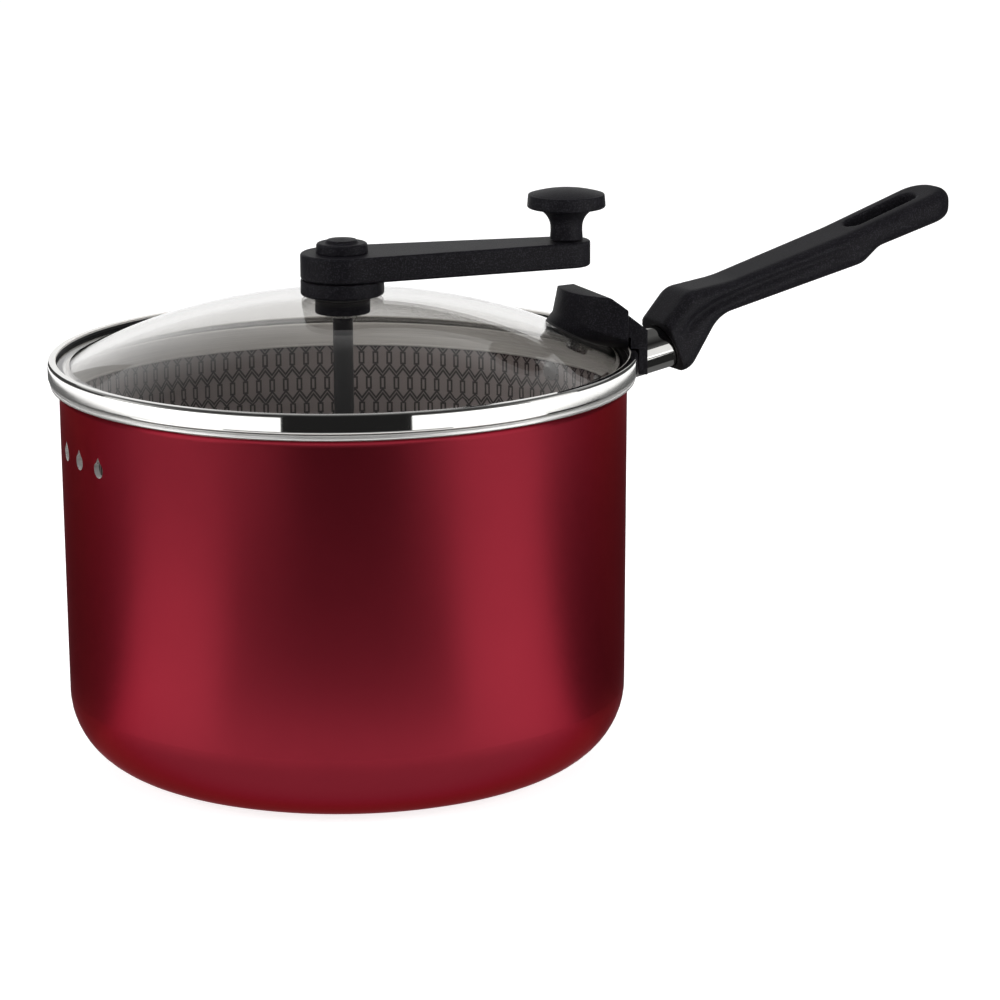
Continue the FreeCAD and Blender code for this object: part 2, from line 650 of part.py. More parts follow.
def make_grommet():
    """Silicone spool in the glass hole: lip above, sleeve, lip below."""
    inner = SPIGOT_RADIUS + SLIP_FIT
    lip = tube(GROMMET_LIP, inner, DOME_TOP - 2, COLLAR_FOOT).cut(dome_ball(0.02))
    sleeve = tube(GLASS_HOLE - SLIP_FIT, inner, WASHER_TOP, COLLAR_FOOT)
    foot = tube(NUT_RADIUS, inner, WASHER_TOP, GLASS_UNDER)
    foot = foot.common(dome_ball(-GLASS_THICK - 0.02))
    return sleeve.fuse([lip, foot]).removeSplitter()


def make_hub_nut():
    """Round nut with two spanner notches."""
    nut = turned([
        (SPIGOT_RADIUS + SLIP_FIT, NUT_FOOT, 0),
        (NUT_RADIUS, NUT_FOOT, 0.6),
        (NUT_RADIUS, NUT_TOP, 0),
        (SPIGOT_RADIUS + SLIP_FIT, NUT_TOP, 0),
    ])
    for side in (0, 180):
        notch = block(NUT_RADIUS - 1.4, NUT_RADIUS + 2, -1.5, 1.5, NUT_FOOT - 1, NUT_TOP - 0.8)
        nut = nut.cut(turn(notch, side + 90))
    return nut


# ---------------------------------------------------------------- crank
def crank_plan(shrink, bottom, top):
    """Prism over two circles and their outer tangents, all moved inwards by shrink."""
    big = HUB_RADIUS - shrink
    small = CRANK_END_RADIUS - shrink
    lean = math.asin((HUB_RADIUS - CRANK_END_RADIUS) / CRANK_LENGTH)
    sine, cosine = math.sin(lean), math.cos(lean)
    a = V(big * sine, big * cosine, bottom)
    b = V(CRANK_LENGTH + small * sine, small * cosine, bottom)
    c = V(b.x, -b.y, bottom)
    d = V(a.x, -a.y, bottom)
    edges = [
        Part.LineSegment(a, b).toShape(),
        Part.Arc(b, V(CRANK_LENGTH + small, 0, bottom), c).toShape(),
        Part.LineSegment(c, d).toShape(),
        Part.Arc(d, V(-big, 0, bottom), a).toShape(),
    ]
    return Part.Face(Part.Wire(edges)).extrude(V(0, 0, top - bottom))


def make_arm():
    """Moulded crank: solid hub and end, hollow and ribbed between them from below."""
    arm = crank_plan(0, CRANK_FOOT, CRANK_TOP)
    arm = rounded(arm, CRANK_EDGE, lambda edge: edge.BoundBox.ZLength < 0.01)
    roof = CRANK_TOP - CRANK_SKIN
    start = HUB_RADIUS + 2
    end = CRANK_LENGTH - CRANK_END_RADIUS - 1.5
    hollow = crank_plan(CRANK_SKIN, CRANK_FOOT - 1, roof)
    hollow = hollow.common(block(start, end, -HUB_RADIUS, HUB_RADIUS, CRANK_FOOT - 1, roof))
    pitch = (end - start) / (CRANK_RIBS + 1)
    for rib in range(CRANK_RIBS):
        middle = start + pitch * (rib + 1)
        hollow = hollow.cut(block(middle - CRANK_RIB_THICK / 2, middle + CRANK_RIB_THICK / 2,
                                  -HUB_RADIUS, HUB_RADIUS, CRANK_FOOT + 1, roof + 1))
    half = DRIVE_WIDTH / 2 + SLIP_FIT
    seat = CRANK_TOP - SCREW_SEAT
    for cutter in (
        hollow,
        block(-half, half, -half, half, CRANK_FOOT - 1, DRIVE_TOP + 0.3),
        rod(SCREW_RADIUS + SLIP_FIT, DRIVE_TOP, seat + 1),
        rod(CAP_SPIGOT_RADIUS + SLIP_FIT, seat, CRANK_TOP + 1),
        rod(PIN_RADIUS + SLIP_FIT, CRANK_FOOT - 1, CRANK_TOP + 1, CRANK_LENGTH),
        rod(PIN_HEAD_RADIUS + 0.2, CRANK_FOOT - 1, CRANK_FOOT + PIN_HEAD_HEIGHT + 0.3,
            CRANK_LENGTH),
    ):
        arm = arm.cut(cutter)
    return turn(arm, CRANK_ANGLE)


def make_crank_cap():
    """Button over the crank's screw, pushed into the same recess."""
    seat = CRANK_TOP
    rim = seat + CAP_HEIGHT
    cap = turned([
        (0, seat, 0),
        (CAP_RADIUS, seat, 0.3),
        (CAP_RADIUS - 0.3, rim, 1.0),
        (CAP_BUTTON_RADIUS + 0.6, rim, 0.5),
        (CAP_BUTTON_RADIUS, rim + CAP_BUTTON_RISE * 0.7, 0.6),
        (0, rim + CAP_BUTTON_RISE, 0),
    ])
    ring = tube(CAP_SPIGOT_RADIUS, SCREW_HEAD_RADIUS + 0.3, seat - CAP_SPIGOT_DEPTH, seat + 1)
    return cap.fuse(ring).removeSplitter()


def make_crank_screw():
    """Cross-slotted pan head screw that holds the crank on the shaft's square."""
    seat = CRANK_TOP - SCREW_SEAT
    head = turned([
        (0, seat, 0),
        (SCREW_HEAD_RADIUS, seat, 0),
        (SCREW_HEAD_RADIUS, seat + SCREW_HEAD_HEIGHT, 1.0),
        (0, seat + SCREW_HEAD_HEIGHT, 0),
    ])
    for angle in (0, 90):
        slot = block(-2.4, 2.4, -0.45, 0.45, seat + 1, seat + SCREW_HEAD_HEIGHT + 1)
        head = head.cut(turn(slot, angle))
    return head.fuse(rod(SCREW_RADIUS - SLIP_FIT, seat - SCREW_LENGTH, seat)).removeSplitter()


def make_shaft():
    """Steel shaft: square above the bush, clip groove below it, cross hole at the foot."""
    half = DRIVE_WIDTH / 2
    shaft = rod(SHAFT_RADIUS, SHAFT_FOOT, CRANK_FOOT)
    shaft = shaft.fuse(block(-half, half, -half, half, CRANK_FOOT - 1, DRIVE_TOP))
    shaft = shaft.removeSplitter()
    groove = tube(SHAFT_RADIUS + 1, SHAFT_RADIUS - CLIP_GROOVE, CLIP_TOP - CLIP_THICK - SLIP_FIT,
                  CLIP_TOP + SLIP_FIT)
    tapped = rod(SCREW_RADIUS, CRANK_TOP - SCREW_SEAT - SCREW_LENGTH - 1, DRIVE_TOP + 1)
    shaft = shaft.cut(groove).cut(tapped).cut(stirrer_pin(SLIP_FIT))
    return turn(shaft, CRANK_ANGLE)


def make_clip():
    """Open spring ring in the shaft's groove, under the bush."""
    clip = tube(CLIP_RADIUS, SHAFT_RADIUS - CLIP_GROOVE + SLIP_FIT, CLIP_TOP - CLIP_THICK,
                CLIP_TOP)
    mouth = block(0, CLIP_RADIUS + 1, -2.2, 2.2, CLIP_TOP - 5, CLIP_TOP + 5)
    return turn(clip.cut(mouth), CRANK_ANGLE + 60)


# ---------------------------------------------------------------- stirrer
def stirrer_pin(extra=0.0):
    """Cross pin through boss and shaft."""
    level = (SHAFT_FOOT + BOSS_TOP) / 2
    reach = STIRRER_BOSS_RADIUS + (1 if extra else 0)
    return Part.makeCylinder(STIRRER_PIN_RADIUS + extra, 2 * reach, V(0, -reach, level),
                             V(0, 1, 0))


def wire(reach, level, rise, bend, extra=0.0):
    """Round wire: level through the middle, both ends bent up."""
    path = outline([
        (-reach, level + rise, 0),
        (-reach, level, bend),
        (reach, level, bend),
        (reach, level + rise, 0),
    ], closed=False)
    ring = Part.Wire(Part.makeCircle(STIRRER_WIRE + extra, V(-reach, 0, level + rise),
                                     V(0, 0, -1)))
    return path.makePipeShell([ring], True, True)


def long_reach():
    """Where the long wire's tips run, clear of the tapered wall."""
    return FOOT_RADIUS - POT_WALL - STIRRER_WALL_GAP - STIRRER_WIRE


def make_long_wire():
    shape = wire(long_reach(), FLOOR_LEVEL, STIRRER_RISE, STIRRER_BEND)
    return turn(shape, CRANK_ANGLE)


def make_short_wire():
    shape = wire(STIRRER_SHORT, SHORT_LEVEL, STIRRER_HOOK, STIRRER_HOOK_BEND)
    return turn(shape, CRANK_ANGLE + 90)


def make_boss():
    """Boss on the shaft's foot, cross-drilled for both wires and the pin."""
    boss = turned([
        (0, BOSS_FOOT, 0),
        (STIRRER_BOSS_RADIUS, BOSS_FOOT, 0.8),
        (STIRRER_BOSS_RADIUS, BOSS_TOP, 1.5),
        (0, BOSS_TOP, 0),
    ])
    boss = boss.cut(rod(SHAFT_RADIUS + SLIP_FIT, SHAFT_FOOT, BOSS_TOP + 1))
    reach = 2 * STIRRER_BOSS_RADIUS
    across = Part.makeCylinder(STIRRER_WIRE + SLIP_FIT, 2 * reach,
                               V(-reach, 0, FLOOR_LEVEL), V(1, 0, 0))
    along = Part.makeCylinder(STIRRER_WIRE + SLIP_FIT, 2 * reach,
                              V(0, -reach, SHORT_LEVEL), V(0, 1, 0))
    return turn(boss.cut(across).cut(along).cut(stirrer_pin(SLIP_FIT)), CRANK_ANGLE)


# ---------------------------------------------------------------- knob
def to_crank_end(shape):
    """Move a shape that was built on the pot's axis to the crank's outer end."""
    copy = shape.copy()
    copy.translate(V(CRANK_LENGTH, 0, 0))
    return turn(copy, CRANK_ANGLE)


def knob_dome():
    """Ball whose top is the knob's domed top, through the disc's upper edge."""
    edge = KNOB_DISC_RADIUS - 0.4
    ball = (edge**2 + KNOB_DOME_HEIGHT**2) / (2 * KNOB_DOME_HEIGHT)
    return Part.makeSphere(ball, V(0, 0, KNOB_TOP - ball))


def make_knob():
    """Turned knob: waisted stem, hollow flare, disc with a recess for its cap."""
    bore = PIN_RADIUS + RUNNING_FIT
    under = KNOB_TOP - KNOB_DISC_HEIGHT
    edge = KNOB_DISC_RADIUS - 0.4
    cap = KNOB_CAP_RADIUS + SLIP_FIT
    pocket = PIN_WASHER_RADIUS + 0.6
    floor = PIN_WASHER_FOOT - REST_GAP
    knob = turned([
        (bore, KNOB_FOOT, 0),
        (KNOB_FOOT_RADIUS, KNOB_FOOT, 0.4),
        (KNOB_WAIST_RADIUS, KNOB_FOOT + KNOB_WAIST_HEIGHT, 0),
        (KNOB_WAIST_RADIUS + 0.1, under, KNOB_FLARE),
        (KNOB_DISC_RADIUS, under + 0.7, 0.8),
        (edge, KNOB_EDGE, 0.8),
        (cap, KNOB_EDGE + 0.9, 0),
        (cap, KNOB_SEAT, 0),
        (pocket, KNOB_SEAT, 0),
        (pocket, floor, 0),
        (bore, floor, 0),
    ])
    return to_crank_end(knob.common(knob_dome().fuse(rod(20, KNOB_FOOT - 1, KNOB_EDGE))))


def make_knob_cap():
    cap = rod(KNOB_CAP_RADIUS, KNOB_SEAT, KNOB_TOP + 1).common(knob_dome())
    return to_crank_end(cap)


def make_knob_pin():
    """Shouldered pin: head let into the crank, upset end over the washer."""
    foot = CRANK_FOOT + 0.3
    top = PIN_WASHER_FOOT + PIN_WASHER_THICK
    return to_crank_end(turned([
        (0, foot, 0),
        (PIN_HEAD_RADIUS, foot, 0.4),
        (PIN_HEAD_RADIUS, foot + PIN_HEAD_HEIGHT, 0),
        (PIN_RADIUS, foot + PIN_HEAD_HEIGHT, 0),
        (PIN_RADIUS, top, 0),
        (PIN_END_RADIUS, top, 0),
        (PIN_END_RADIUS, PIN_END, 0.6),
        (0, PIN_END, 0),
    ]))


def make_pin_washer():
    return to_crank_end(tube(PIN_WASHER_RADIUS, PIN_RADIUS + SLIP_FIT, PIN_WASHER_FOOT,
                             PIN_WASHER_FOOT + PIN_WASHER_THICK))


# ---------------------------------------------------------------- latch
def on_latch_screw(shape):
    """Place a shape built about Z, with the glass's outer face at height 0, on the screw."""
    tilt = math.degrees(math.asin(LATCH_SCREW_REACH / DOME_SPHERE))
    copy = shape.copy()
    copy.translate(V(0, 0, DOME_SPHERE))
    copy.rotate(HERE, V(0, 1, 0), tilt)
    copy.translate(V(0, 0, DOME_TOP - DOME_SPHERE))
    return turn(copy, LATCH_ANGLE)


def beside_handle(inset=0.0):
    """Space on the near side of the latch's straight face."""
    return block(0, YOKE_RADIUS, -YOKE_RADIUS, LATCH_SIDE - inset, 0, ABOVE_ALL)


def latch_trim(shape, inset=0.0):
    """Cut to the space inside the band, and straight on the side towards the handle."""
    top = LATCH_TOP + 5
    room = rod(LATCH_OUTER - inset, 0, top)
    return shape.common(room).common(beside_handle(inset))


def latch_block(inset=0.0):
    """Round in plan, leaning outwards as it rises."""
    middle = V(LATCH_REACH + LATCH_ROUND, 0, EDGE_TOP)
    disc = Part.Face(Part.Wire(Part.makeCircle(LATCH_ROUND - inset, middle)))
    height = LATCH_TOP + 5 - EDGE_TOP
    lean = LATCH_LEAN * height / (LATCH_TOP - EDGE_TOP)
    return latch_trim(turn(disc.extrude(V(lean, 0, height)), LATCH_ANGLE), inset)


def seam_nose():
    """Where the seam between shoe and cover meets the nose, before the latch is turned."""
    level = glass_level(LATCH_REACH) + SEAM_HEIGHT
    lean = LATCH_LEAN * (level - EDGE_TOP) / (LATCH_TOP - EDGE_TOP)
    return V(LATCH_REACH + lean, 0, level)


def shoe_block():
    """Undercut like a boat's bow: wide at the seam, narrow where it stands on the glass."""
    wide = Part.makeCircle(LATCH_ROUND, V(LATCH_ROUND, 0, 0))
    narrow = Part.makeCircle(SHOE_ROUND, V(SHOE_ROUND - SHOE_NOSE, 0, -SHOE_DEPTH))
    bow = Part.makeLoft([Part.Wire(wide), Part.Wire(narrow)], True, True)
    bow.rotate(HERE, V(0, 1, 0), SEAM_SLOPE)
    bow.translate(seam_nose())
    return latch_trim(turn(bow, LATCH_ANGLE))


def under_ramp(drop=0.0):
    """Space below the latch's flat top, its thumb ramp and its low part over the band."""
    low = BAND_TOP + RAMP_FLOOR - drop
    top = LATCH_TOP - drop
    corner = RAMP_START - drop * tangent(RAMP_SLOPE / 2)
    face = Part.Face(outline([
        (0, 0, 0),
        (2 * BAND_RADIUS, 0, 0),
        (2 * BAND_RADIUS, low, 0),
        (corner + (top - low) / tangent(RAMP_SLOPE), low, 0),
        (corner, top, 0),
        (0, top, 0),
    ]))
    face.translate(V(0, BAND_RADIUS, 0))
    return turn(face.extrude(V(0, -2 * BAND_RADIUS, 0)), RAMP_ANGLE)


def below_seam():
    """Space under the plane between shoe and cover."""
    nose = seam_nose()
    fall = tangent(SEAM_SLOPE)
    start = nose.x - LATCH_ROUND
    end = nose.x + 2 * LATCH_ROUND
    face = Part.Face(outline([
        (start, 0, 0),
        (end, 0, 0),
        (end, nose.z - (end - nose.x) * fall, 0),
        (start, nose.z + (nose.x - start) * fall, 0),
    ]))
    face.translate(V(0, BAND_RADIUS, 0))
    return turn(face.extrude(V(0, -2 * BAND_RADIUS, 0)), LATCH_ANGLE)


def sector(start, end, outer, inner, bottom, top):
    """Part of a tube between two angles."""
    piece = Part.makeCylinder(outer, top - bottom, V(0, 0, bottom), UP, end - start)
    return turn(piece, start).cut(rod(inner, bottom - 1, top + 1))


def make_latch_cover():
    """Hollow cover with a thumb ramp, a tongue over the band and a yoke on the ferrule."""
    def over_band(end, top):
        arch = sector(TONGUE_ANGLE, end, YOKE_RADIUS, LATCH_OUTER - TONGUE_LAP, YOKE_FOOT, top)
        return arch.cut(rod(BAND_RADIUS + YOKE_CLEARANCE, 0, BAND_TOP + REST_GAP))

    tongue = over_band(TONGUE_END_ANGLE, BAND_TOP + RAMP_FLOOR)
    shoulder = over_band(0, LATCH_TOP).common(beside_handle())
    body = latch_block().fuse([shoulder, tongue]).common(under_ramp()).removeSplitter()
    body = rounded(body, LATCH_EDGE, lambda edge: edge.BoundBox.ZMin > LATCH_TOP - 0.01)
    hollow = latch_block(LATCH_SKIN).common(under_ramp(LATCH_SKIN))
    post = on_latch_screw(rod(LATCH_POST_RADIUS, 0, 2 * LATCH_HEIGHT))
    body = body.cut(latch_block(-1).common(below_seam())).cut(hollow.cut(post))
    half = FERRULE_RADIUS + YOKE_CLEARANCE
    axis = FERRULE_FOOT.z
    body = body.cut(block(BAND_RADIUS - 3, YOKE_RADIUS + 5, -half, half, axis - 30, axis))
    body = body.cut(along_ferrule(half, -8, 20))
    return body.cut(on_latch_screw(rod(LATCH_SCREW_RADIUS, 0, LATCH_SCREW_LENGTH - 4)))


def make_latch_shoe():
    """Lower part of the latch: follows the dome and carries the cover."""
    shoe = shoe_block().common(under_ramp())
    shoe = shoe.cut(dome_ball(LATCH_PAD)).cut(rod(BAND_MOUTH, 100, EDGE_TOP + LATCH_PAD))
    return shoe.cut(on_latch_screw(rod(LATCH_SCREW_RADIUS + 0.1, -2, 12)))


def make_latch_pad():
    """Rubber pad between shoe and glass."""
    pad = shoe_block().common(dome_ball(LATCH_PAD))
    pad = pad.cut(dome_ball(0.02)).cut(rod(BAND_MOUTH, 100, EDGE_TOP + 0.02))
    return pad.cut(on_latch_screw(rod(LATCH_SCREW_RADIUS + 0.4, -2, 12)))


def make_latch_screw():
    """Slotted screw from inside the lid, through glass and shoe into the cover's post."""
    foot = -GLASS_THICK - LATCH_WASHER_THICK - 0.1
    head = turned([
        (0, foot - 2.4, 0),
        (LATCH_HEAD_RADIUS, foot - 2.4, 1.0),
        (LATCH_HEAD_RADIUS, foot, 0),
        (0, foot, 0),
    ])
    head = head.cut(block(-5, 5, -0.5, 0.5, foot - 4, foot - 1.4))
    shank = rod(LATCH_SCREW_RADIUS - SLIP_FIT, foot, foot + LATCH_SCREW_LENGTH)
    return on_latch_screw(head.fuse(shank).removeSplitter())


def make_latch_washer():
    top = -GLASS_THICK - 0.1
    return on_latch_screw(tube(LATCH_WASHER_RADIUS, LATCH_SCREW_RADIUS + SLIP_FIT,
                               top - LATCH_WASHER_THICK, top))


# ---------------------------------------------------------------- the pieces
PIECES = {
    "pot_body": make_pot,
    "handle_bracket": make_bracket,
    "handle_rivets": make_rivets,
    "handle_ferrule": make_ferrule,
    "handle_tang": make_tang,
    "handle_grip": make_grip,
    "grip_screw": make_grip_screw,
    "lid_glass": make_glass,
    "lid_band": make_band,
    "lid_gasket": make_gasket,
    "hub_bush": make_bush,
    "hub_grommet": make_grommet,
    "hub_washer": lambda: tube(NUT_RADIUS, SPIGOT_RADIUS + SLIP_FIT, NUT_TOP, WASHER_TOP),
    "hub_nut": make_hub_nut,
    "latch_cover": make_latch_cover,
    "latch_shoe": make_latch_shoe,
    "latch_pad": make_latch_pad,
    "latch_screw": make_latch_screw,
    "latch_washer": make_latch_washer,
    "crank_arm": make_arm,
    "crank_cap": make_crank_cap,
    "crank_screw": make_crank_screw,
    "stirrer_shaft": make_shaft,
    "shaft_clip": make_clip,
    "stirrer_boss": make_boss,
    "stirrer_pin": lambda: turn(stirrer_pin(), CRANK_ANGLE),
    "stirrer_long_wire": make_long_wire,
    "stirrer_short_wire": make_short_wire,
    "knob_pin": make_knob_pin,
    "pin_washer": make_pin_washer,
    "knob_grip": make_knob,
    "knob_cap": make_knob_cap,
}

for name, make in PIECES.items():
    shape = make()
    size = shape.BoundBox
    print(f"{name:18s} solids {len(shape.Solids)} valid {shape.isValid()} "
          f"volume {shape.Volume:9.0f} x {size.XMin:.1f}..{size.XMax:.1f} "
          f"y {size.YMin:.1f}..{size.YMax:.1f} z {size.ZMin:.1f}..{size.ZMax:.1f}")
    save(name, shape)
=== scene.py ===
# %% [markdown]
# # A stovetop popcorn popper
#
# The pot is drawn aluminium with a red satin coat, the lid is a domed glass in a polished steel
# band, and a crank on top turns a wire stirrer over the floor. The solid pieces come from the
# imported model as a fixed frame, so this file dresses them: it gives each one the finish of the
# real material, makes the two shapes that are easier as surfaces, and lights the lot.

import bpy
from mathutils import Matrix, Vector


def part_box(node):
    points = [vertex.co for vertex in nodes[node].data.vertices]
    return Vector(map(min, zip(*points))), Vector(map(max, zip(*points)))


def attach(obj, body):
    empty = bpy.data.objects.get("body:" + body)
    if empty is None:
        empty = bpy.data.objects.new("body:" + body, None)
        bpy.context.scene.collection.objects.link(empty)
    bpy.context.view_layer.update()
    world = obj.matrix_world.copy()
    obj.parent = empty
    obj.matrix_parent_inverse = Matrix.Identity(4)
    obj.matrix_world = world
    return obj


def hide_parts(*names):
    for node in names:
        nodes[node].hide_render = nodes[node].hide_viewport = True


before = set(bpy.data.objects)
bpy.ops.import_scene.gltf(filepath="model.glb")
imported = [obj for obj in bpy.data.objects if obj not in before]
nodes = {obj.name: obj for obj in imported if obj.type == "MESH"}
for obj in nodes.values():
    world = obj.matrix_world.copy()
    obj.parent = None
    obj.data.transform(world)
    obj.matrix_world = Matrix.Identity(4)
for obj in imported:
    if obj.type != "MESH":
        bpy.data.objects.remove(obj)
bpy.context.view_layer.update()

import math

import bmesh
import bpy
import numpy as np
from mathutils import Matrix, Vector

# %% [markdown]
# ## Sizes and colours
#
# Every length below is in metres, as in the frame. Colours are written as sRGB hex values, as on
# a colour chart, and one function turns them to the linear light that shaders need.

# %% Sizes that the finishes follow
POT_TOP = 0.1414  # height of the rim
LIP_START = 0.1034  # radius where the rolled lip leaves the wall
LIP_DEPTH = 0.0009  # the lip is bare down to this far below the rim
VENT_FOOT, VENT_HEAD = 0.105, 0.134  # the cut edges of the vents lie between these heights
BASE_FACE = 0.0745  # radius of the turned underside
BASE_SKIN = 0.0015  # all that lies below this height is underside
PRINT_TURNS_UP = 0.02  # above this height the print follows the wall
PRINT_RADIUS = 0.1  # radius on which the print's step is measured


def linear(code):
    """An sRGB hex colour as linear RGBA: c/12.92 below 0.04045, else ((c + 0.055)/1.055)^2.4."""
    c = np.array([int(code[i : i + 2], 16) for i in (1, 3, 5)]) / 255
    c = np.where(c <= 0.04045, c / 12.92, ((c + 0.055) / 1.055) ** 2.4)
    return (*c.tolist(), 1.0)


print("mid grey #808080 is", round(linear("#808080")[0], 3), "in linear light")

# %% [markdown]
# ## Three small helpers for materials
#
# A material is a graph of nodes. `add` places one node, sets its properties and fills its inputs
# with numbers or with the outputs of other nodes. `new_material` starts a material with its
# output, and `wear` dresses nodes of the frame in it.

# %% Helpers
def add(tree, kind, inputs=None, **settings):
    """Places one node. settings are its properties; inputs maps a socket to a value or a link."""
    made = tree.nodes.new(kind)
    for name, value in settings.items():
        setattr(made, name, value)
    for socket, value in (inputs or {}).items():
        if isinstance(value, bpy.types.NodeSocket):
            tree.links.new(value, made.inputs[socket])
        else:
            made.inputs[socket].default_value = value
    return made


def new_material(name):
    """A material with only its output in it, its graph, and the socket its shader goes to."""
    stuff = bpy.data.materials.new(name)
    stuff.use_nodes = True
    stuff.node_tree.nodes.clear()
    output = add(stuff.node_tree, "ShaderNodeOutputMaterial")
    return stuff, stuff.node_tree, output.inputs["Surface"]


def wear(stuff, *names):
    """The named nodes of the frame take this material."""
    for name in names:
        nodes[name].data.materials.clear()
        nodes[name].data.materials.append(stuff)


print("helpers: add, new_material, wear")

# %% [markdown]
# ## Black phenolic
#
# The grip, crank, knob and latch are compression-moulded phenolic, the heat-proof black plastic
# of cookware. The mould is spark-eroded, which leaves a fine even grain: the skin is never
# mirror-like. The peaks of the grain are painted lighter, as dark grey specks: a painted sparkle
# that stands in for the glints of light on the grain.
# A slow noise gives a faint cloudiness. The real grain is near 0.1 mm, too fine to show, so it
# is drawn at 0.5 mm.

# %% Phenolic
PHENOLIC_GRAIN = 0.0005
CLOUD_SCALE = 60.0  # clouds near 17 mm across
black_phenolic, tree, surface = new_material("Phenolic_moulded_spark_grain")
place = add(tree, "ShaderNodeTexCoord").outputs["Object"]
grain = add(tree, "ShaderNodeTexNoise", {
    "Vector": place, "Scale": 1 / PHENOLIC_GRAIN, "Detail": 3.0}).outputs["Fac"]
cloud = add(tree, "ShaderNodeTexNoise", {
    "Vector": place, "Scale": CLOUD_SCALE, "Detail": 2.0}).outputs["Fac"]
rough = add(tree, "ShaderNodeMapRange", {"Value": grain, "To Min": 0.42, "To Max": 0.62})
tone = add(tree, "ShaderNodeMix", {
    "Factor": cloud, "A": linear("#0b0a0e"), "B": linear("#121114")}, data_type="RGBA")
# Painted sparkle: the peaks of the grain are mixed towards a lighter grey, standing in for glints
# of light on them.
glint_peaks = add(tree, "ShaderNodeMapRange", {
    "Value": grain, "From Min": 0.5, "From Max": 0.7, "To Min": 0.0, "To Max": 0.7})
painted_glints = add(tree, "ShaderNodeMix", {
    "Factor": glint_peaks.outputs["Result"], "A": tone.outputs["Result"], "B": linear("#302f34")},
    data_type="RGBA")
bump = add(tree, "ShaderNodeBump", {"Height": grain, "Strength": 0.5, "Distance": 0.0002})
skin = add(tree, "ShaderNodeBsdfPrincipled", {
    "Base Color": painted_glints.outputs["Result"], "Roughness": rough.outputs["Result"],
    "Normal": bump.outputs["Normal"], "IOR": 1.5, "Specular IOR Level": 0.18})
tree.links.new(skin.outputs["BSDF"], surface)
wear(black_phenolic, "latch_cover", "latch_shoe", "hub_bush", "hub_nut",
     "crank_arm", "crank_cap", "knob_grip", "knob_cap")
print("phenolic on eight pieces of the frame")

# %% [markdown]
# ## The grip with its coves
#
# A long cove is pressed into each side of the grip, from the neck over the shoulder and along the
# palm, where it fades out. It gives the fingers a hold and keeps the moulding's wall even. The
# frame's grip already has the outline, the roundings and the hanging slot, so its surface is
# copied, its corners merged, and remade as an even net of small squares that can take the
# pressing. The net is a little rough, so it is smoothed. The cove's depth is then one function
# of two distances: how far along the cove a point is, and how far from its line.

# %% An even net over the grip
SAME_POINT = 0.000002
NET = 0.0006
SMOOTH_SHARE, SMOOTH_TIMES = 0.5, 6
bare_mesh = nodes["handle_grip"].data.copy()
weld = bmesh.new()
weld.from_mesh(bare_mesh)
bmesh.ops.remove_doubles(weld, verts=weld.verts, dist=SAME_POINT)
weld.to_mesh(bare_mesh)
weld.free()
rough_grip = bpy.data.objects.new("rough_grip", bare_mesh)
bpy.context.scene.collection.objects.link(rough_grip)
net = rough_grip.modifiers.new("net", "REMESH")
net.mode = "VOXEL"
net.voxel_size = NET
ease = rough_grip.modifiers.new("ease", "SMOOTH")
ease.factor = SMOOTH_SHARE
ease.iterations = SMOOTH_TIMES
seen_with_modifiers = rough_grip.evaluated_get(bpy.context.evaluated_depsgraph_get())
grip_mesh = bpy.data.meshes.new_from_object(seen_with_modifiers)
bpy.data.objects.remove(rough_grip)
print("net of", len(grip_mesh.polygons), "faces")

# %% The cove's line and depth
COVE_CORNERS = np.array([[0.1398, 0.1400], [0.1468, 0.1535], [0.1640, 0.1545], [0.2340, 0.1715]])
COVE_DEPTH = 0.0018
COVE_HALF_WIDTH = 0.0018
COVE_RISE = 0.2  # share of the line over which the cove gets its full depth
RISE_POWER, FADE_POWER = 0.7, 6


def cove_line(count=160):
    """A cubic Bezier in x and z: (1-t)^3 p0 + 3(1-t)^2 t p1 + 3(1-t) t^2 p2 + t^3 p3."""
    t = np.linspace(0.0, 1.0, count)[:, None]
    p0, p1, p2, p3 = COVE_CORNERS
    return (1 - t) ** 3 * p0 + 3 * (1 - t) ** 2 * t * p1 + 3 * (1 - t) * t ** 2 * p2 + t ** 3 * p3


def cove(points):
    """How far each point is pressed in: depth times a bell of the distance from the line,
    exp(-(d/w)^2), times a swell along it that rises over the first fifth and dies to the end."""
    line = cove_line()
    away = np.hypot(points[:, None, 0] - line[None, :, 0], points[:, None, 2] - line[None, :, 1])
    nearest = away.argmin(1)
    along = nearest / (len(line) - 1)
    distance = away[np.arange(len(points)), nearest]
    swell = np.clip(along / COVE_RISE, 0, 1) ** RISE_POWER * (1 - along ** FADE_POWER)
    return COVE_DEPTH * np.exp(-((distance / COVE_HALF_WIDTH) ** 2)) * swell


print("the cove runs from", cove_line()[0].tolist(), "to", cove_line()[-1].tolist())

# %% Press the coves
FLANK, FLANK_RAMP = 0.0085, 0.0012  # only what lies this far from the middle plane is pressed
places = np.empty(len(grip_mesh.vertices) * 3)
grip_mesh.vertices.foreach_get("co", places)
places = places.reshape(-1, 3)
on_flank = np.clip((np.abs(places[:, 1]) - FLANK) / FLANK_RAMP, 0, 1)
places[:, 1] -= np.sign(places[:, 1]) * cove(places) * on_flank
low, high = (np.array(corner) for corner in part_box("handle_grip"))
places = np.clip(places, low, high)
grip_mesh.vertices.foreach_set("co", places.ravel())
grip_mesh.shade_smooth()
grip_mesh.materials.clear()
grip_mesh.materials.append(black_phenolic)
grip = bpy.data.objects.new("grip_with_coves", grip_mesh)
bpy.context.scene.collection.objects.link(grip)
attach(grip, "pot")
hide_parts("handle_grip")
print("coves", round(COVE_DEPTH * 1000, 1), "mm deep on both sides of the grip")

